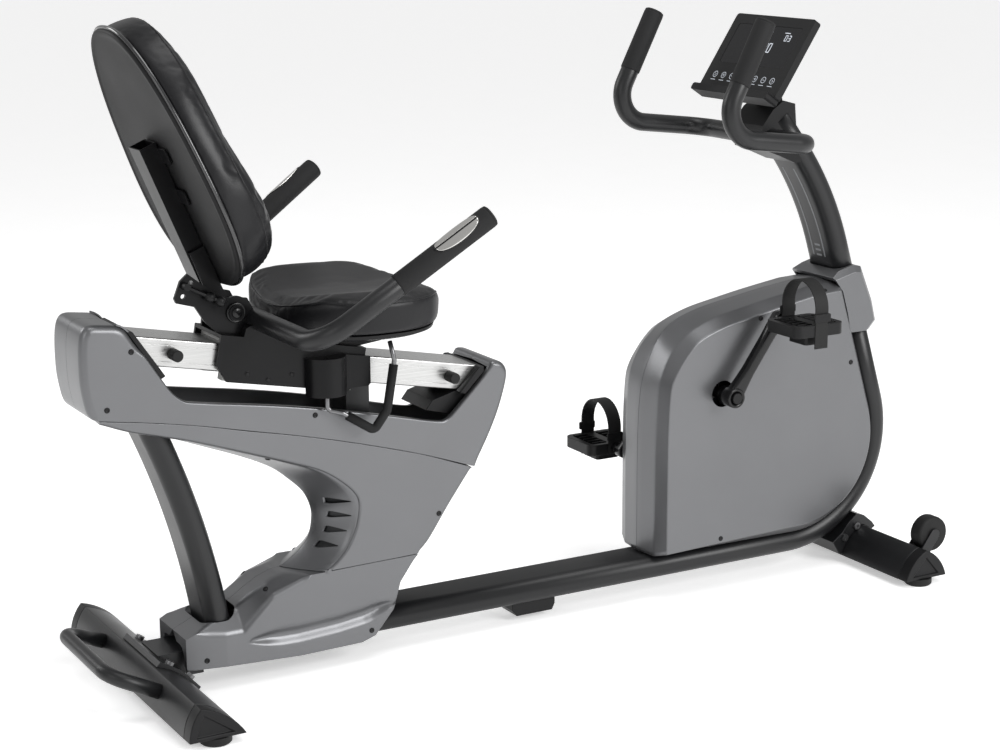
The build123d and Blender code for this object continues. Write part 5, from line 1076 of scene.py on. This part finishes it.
loops = []
for d, k in ((5.6, 0.955), (9, 0.978), (18, 0.986), (32, 0.984), (44, 0.978), (54, 0.972)):
    loops.append([back_pt(x * k, v * k, d) for x, v in shape])
for k, drop in ((0.962, 7), (0.945, 4), (0.92, 2), (0.87, 0.8), (0.8, 0), (0.7, 0), (0.55, 0), (0.4, 0), (0.22, 0), (0.08, 0)):
    loops.append([back_pt(x * k, v * k, back_front(x * k, v * k) - drop) for x, v in shape])
back = loft("v_backrest_cushion", loops, HIDE)
remesh(back, 0.0045)
inv = [Vector((0, 1, 0)), bu, bn]
c0 = W(*BC)
print("back cloth moved", simulate(back, lambda c: (c - c0).dot(bn) < 0.013, 0.006))
for v in back.data.vertices:
    rel = v.co - c0
    x, h, d = rel.y * 1000, rel.dot(bu) * 1000, rel.dot(bn) * 1000
    xx = x / max(0.3, (1 - 0.2 * h / BH))
    r = (abs(h / BH) ** 2.5 + abs(xx / BW) ** 2.5) ** (1 / 2.5)
    if r > 0.9:
        q = math.exp(-((d - 59) / 2.4) ** 2)
        v.co -= (Vector((0, 1, 0)) * x + bu * h) / 1000 * 0.010 * q
finish_cushion(back)
own(back, "backrest", "backrest_cushion", slot="backrest_cushion")

# back shell: shallow dish with a rolled, glossy rim
rim_path = [BC + Vector((0, 1, 0)) * (x * 0.996) + bu * (v * 0.996) + bn * 4.0 for x, v in shape]
bead("v_backrest_rim", rim_path, 3.4, RIMGLOSS, "backrest", "backrest_shell")
seam_path = [BC + Vector((0, 1, 0)) * (x * 0.975) + bu * (v * 0.975) + bn * 58.0 for x, v in shape]
seam_path = [on_cover(back, q, 0.4) for q in seam_path]
bead("v_backrest_piping", seam_path, 1.8, HIDE, "backrest", "backrest_cushion")
loops = []
for k, d in ((0.955, 5.0), (0.980, 4.9), (0.987, 4.3), (0.991, 2.5), (0.992, -0.5), (0.989, -2.8), (0.982, -4.2), (0.970, -4.6),
             (0.955, -4.3), (0.945, -3.6), (0.935, -3.0), (0.91, -2.9), (0.6, -2.9), (0.3, -2.9), (0.05, -2.9)):
    loops.append([back_pt(x * k, v * k, d) for x, v in shape])
own(loft("v_backrest_shell", loops, TEXTURED), "backrest", "backrest_shell", slot="backrest_shell")

# ------------------------------------------------------------------ console face
low, top = Vector((452, 0, 925)), Vector((543, 0, 1062))
cu = (top - low).normalized()
cn = Vector((-cu.z, 0, cu.x))
cc = (low + top) / 2


def con(x, v, d):
    """x to the rider's right, v up the face, d out of it."""
    return W(*(cc + Vector((0, -1, 0)) * x + cu * v + cn * d))


def plate(name, outline, d0, d1, mat):
    lo_ = [con(x, v, d0) for x, v in outline]
    hi_ = [con(x, v, d1) for x, v in outline]
    return loft(name, [lo_, hi_], mat)


def rounded(w, h, r, cx=0, cy=0, n=6):
    pts = []
    for qx, qy, a0 in ((1, 1, 0), (-1, 1, 90), (-1, -1, 180), (1, -1, 270)):
        for k in range(n + 1):
            a = math.radians(a0 + 90 * k / n)
            pts.append((cx + qx * (w / 2 - r) + r * math.cos(a), cy + qy * (h / 2 - r) + r * math.sin(a)))
    return pts


o = plate("v_console_screen", rounded(195.4, 83.4, 4.8, 0, 20), -2.9, -0.6, SCREEN)
own(soften(o, 0.3), "console", "console_screen", slot="console_screen")
SEG = {"0": "abcdef", "1": "bc", "2": "abged", "3": "abgcd", "4": "fgbc", "5": "afgcd", "6": "afgedc", "7": "abc",
       "8": "abcdefg", "9": "abcdfg"}


def digit(ch, x, v, w, h, t):
    quads = {"a": (x, v + h, w, t), "g": (x, v + h / 2, w, t), "d": (x, v, w, t), "f": (x - w / 2, v + h * 0.75, t, h / 2),
             "b": (x + w / 2, v + h * 0.75, t, h / 2), "e": (x - w / 2, v + h * 0.25, t, h / 2),
             "c": (x + w / 2, v + h * 0.25, t, h / 2)}
    return [quads[q] for q in SEG[ch]]


rects = []
for ch, x in (("1", 4), ("8", 16), ("0", 28)):
    rects += digit(ch, x, 8, 8, 18, 2.0)
for ch, x in (("0", 62), ("3", 72)):
    rects += digit(ch, x, 34, 6, 11, 1.5)
for k in range(6):
    rects.append((-30 + 6 * k, 4, 3.4, 3 + (k * 5 % 11)))
for x in (8, 60):
    rects.append((x, 50, 16, 1.6))
verts, faces = [], []
for x, v, w, h in rects:
    n = len(verts)
    for d in (-0.65, -0.45):
        verts += [con(x - w / 2, v - h / 2, d), con(x + w / 2, v - h / 2, d), con(x + w / 2, v + h / 2, d), con(x - w / 2, v + h / 2, d)]
    faces += [(n, n + 1, n + 2, n + 3), (n + 4, n + 5, n + 6, n + 7)] + [(n + i, n + (i + 1) % 4, n + 4 + (i + 1) % 4, n + 4 + i) for i in range(4)]
own(new_object("v_console_digits", verts, faces, MARK, smooth=False), "console", slot="console_screen")
# touch keys along the lower face: simple rings, bars and arrows
verts, faces = [], []


def ribbon(pts, w, d0=0.02, d1=0.2, closed=False):
    m = len(pts)
    n0 = len(verts)
    for i, (x, v) in enumerate(pts):
        a, b = pts[(i - 1) % m] if closed or i else pts[0], pts[(i + 1) % m] if closed or i < m - 1 else pts[-1]
        t = Vector((b[0] - a[0], b[1] - a[1])).normalized()
        nx, nv = -t.y * w / 2, t.x * w / 2
        for d in (d0, d1):
            verts.append(con(x + nx, v + nv, d))
            verts.append(con(x - nx, v - nv, d))
    for i in range(m if closed else m - 1):
        a, b = n0 + 4 * i, n0 + 4 * ((i + 1) % m)
        faces.extend([(a + 2, b + 2, b + 3, a + 3), (a, a + 2, b + 2, b)[::-1], (a + 1, b + 1, b + 3, a + 3), (a, b, b + 1, a + 1)])


for k, x in enumerate((-88, -62, -36, 0, 36, 62, 88)):
    v = -48
    ribbon([(x + 6 * math.cos(2 * math.pi * i / 20), v + 6 * math.sin(2 * math.pi * i / 20)) for i in range(20)], 0.9, closed=True)
    if k % 3 == 0:
        ribbon([(x - 2, v - 2.5), (x + 2.5, v), (x - 2, v + 2.5)], 0.9)
    elif k % 3 == 1:
        ribbon([(x, v - 3), (x, v + 3)], 0.9)
        ribbon([(x - 3, v), (x + 3, v)], 0.9)
    else:
        ribbon([(x - 3, v), (x + 3, v)], 0.9)
    ribbon([(x - 7, v - 11), (x + 7, v - 11)], 1.1)
own(new_object("v_console_keys", verts, faces, MARK, smooth=False), "console", slot="console_screen")

# ------------------------------------------------------------------ mast stripes
def mast_at(z):
    """Rear face of the mast at height z, and its upward direction."""
    pts = filleted([(mast_x(546), 0, 546), (641.2, 0, 736.3), (528.9, 0, 880)], [600], 30)
    for a, b in zip(pts, pts[1:]):
        if a.z <= z <= b.z:
            t = (z - a.z) / (b.z - a.z)
            p = a.lerp(b, t)
            d = (b - a).normalized()
            return p + Vector((-d.z, 0, d.x)) * 22.15, d
    return pts[-1], Vector((0, 0, 1))


verts, faces = [], []
for y0, y1, z0, z1 in ((-19, -15, 612, 792), (15, 19, 612, 792), (-8, 8, 612, 616), (-8, 8, 622, 626), (-8, 8, 632, 636)):
    steps = max(2, int((z1 - z0) / 8))
    n0 = len(verts)
    for i in range(steps + 1):
        p, d = mast_at(z0 + (z1 - z0) * i / steps)
        for y in (y0, y1):
            verts.append(W(p.x, y, p.z))
    for i in range(steps):
        a = n0 + 2 * i
        faces.append((a, a + 1, a + 3, a + 2))
own(new_object("v_mast_stripes", verts, faces, PRINT, smooth=False), "frame", slot="console_mast")

# ------------------------------------------------------------------ pedal treads
cr, sr = math.cos(math.radians(54.3)), math.sin(math.radians(54.3))
for sg, nm, px, pz in ((-1, "pedal_right", 383 + 170 * cr, 384 + 170 * sr), (1, "pedal_left", 383 - 170 * cr, 384 - 170 * sr)):
    verts, faces = [], []
    for k in range(5):
        for xx in (-26, 26):
            x0, x1 = px + xx - 14, px + xx + 14
            y = sg * (155 + 16 * k)
            n0 = len(verts)
            for (xa, ya, za) in ((x0, y - 1.6, 4), (x1, y - 1.6, 4), (x1, y + 1.6, 4), (x0, y + 1.6, 4),
                                 (x0, y - 1.2, 10.2), (x1, y - 1.2, 10.2), (x1, y + 1.2, 10.2), (x0, y + 1.2, 10.2)):
                verts.append(W(xa, ya, pz + za))
            faces += [(n0 + 4, n0 + 5, n0 + 6, n0 + 7)] + [(n0 + i, n0 + (i + 1) % 4, n0 + 4 + (i + 1) % 4, n0 + 4 + i) for i in range(4)]
    own(soften(new_object("v_treads_" + nm, verts, faces, BLACK), 0.4), nm, slot=nm)

# ------------------------------------------------------------------ studio
def stage_mesh(name, verts, faces, mat):
    o = new_object(name, verts, faces, mat, smooth=False)
    return o


FLOOR = material("floor", (0.93, 0.93, 0.93), 0.55, vary=0.01, spec=0.25)
fb = FLOOR.node_tree.nodes["Principled BSDF"]
fb.inputs["Emission Color"].default_value = (1, 1, 1, 1)
fb.inputs["Emission Strength"].default_value = 0.42
floor = stage_mesh("floor", [(-60, -60, 0), (60, -60, 0), (60, 60, 0), (-60, 60, 0)], [(0, 1, 2, 3)], FLOOR)


def area(name, loc, aim, size, power, size_y=None):
    li = bpy.data.lights.new(name, "AREA")
    li.shape = "RECTANGLE"
    li.size, li.size_y = size, size_y or size
    li.energy = power
    o = bpy.data.objects.new(name, li)
    bpy.context.scene.collection.objects.link(o)
    o.location = loc
    o.rotation_mode = "QUATERNION"
    o.rotation_quaternion = (Vector(aim) - Vector(loc)).to_track_quat("-Z", "Y")
    return o


area("key", (1.9, -4.2, 2.6), (0, 0, 0.5), 2.4, 165)
area("fill", (-3.6, -1.8, 1.8), (-0.2, 0, 0.6), 1.8, 16)
area("top", (0.4, -0.6, 3.8), (0.1, 0, 0.4), 2.6, 46, 1.6)
area("rim", (-2.6, 2.8, 2.4), (0, 0, 0.6), 1.6, 34)
world = bpy.data.worlds.new("world")
world.use_nodes = True
world.node_tree.nodes["Background"].inputs["Color"].default_value = (1.0, 1.0, 1.0, 1)
world.node_tree.nodes["Background"].inputs["Strength"].default_value = 0.50
bpy.context.scene.world = world
bpy.context.scene.view_settings.view_transform = "Standard"

# camera
a, e, roll = math.radians(-29.48), math.radians(13.20), math.radians(-0.37)
bk = Vector((math.sin(a) * math.cos(e), -math.cos(a) * math.cos(e), math.sin(e)))
right = Vector((math.cos(a), math.sin(a), 0))
up = bk.cross(right)
R = right * math.cos(roll) + up * math.sin(roll)
U = -right * math.sin(roll) + up * math.cos(roll)
cam = bpy.data.cameras.new("camera")
cam.lens, cam.sensor_width = 76.325, 36
cam.shift_x, cam.shift_y = -0.00705, 0.0
co = bpy.data.objects.new("camera", cam)
bpy.context.scene.collection.objects.link(co)
co.matrix_world = Matrix(((R.x, U.x, bk.x, -1.81955), (R.y, U.y, bk.y, -3.1866), (R.z, U.z, bk.z, 1.3127), (0, 0, 0, 1)))
bpy.context.scene.camera = co
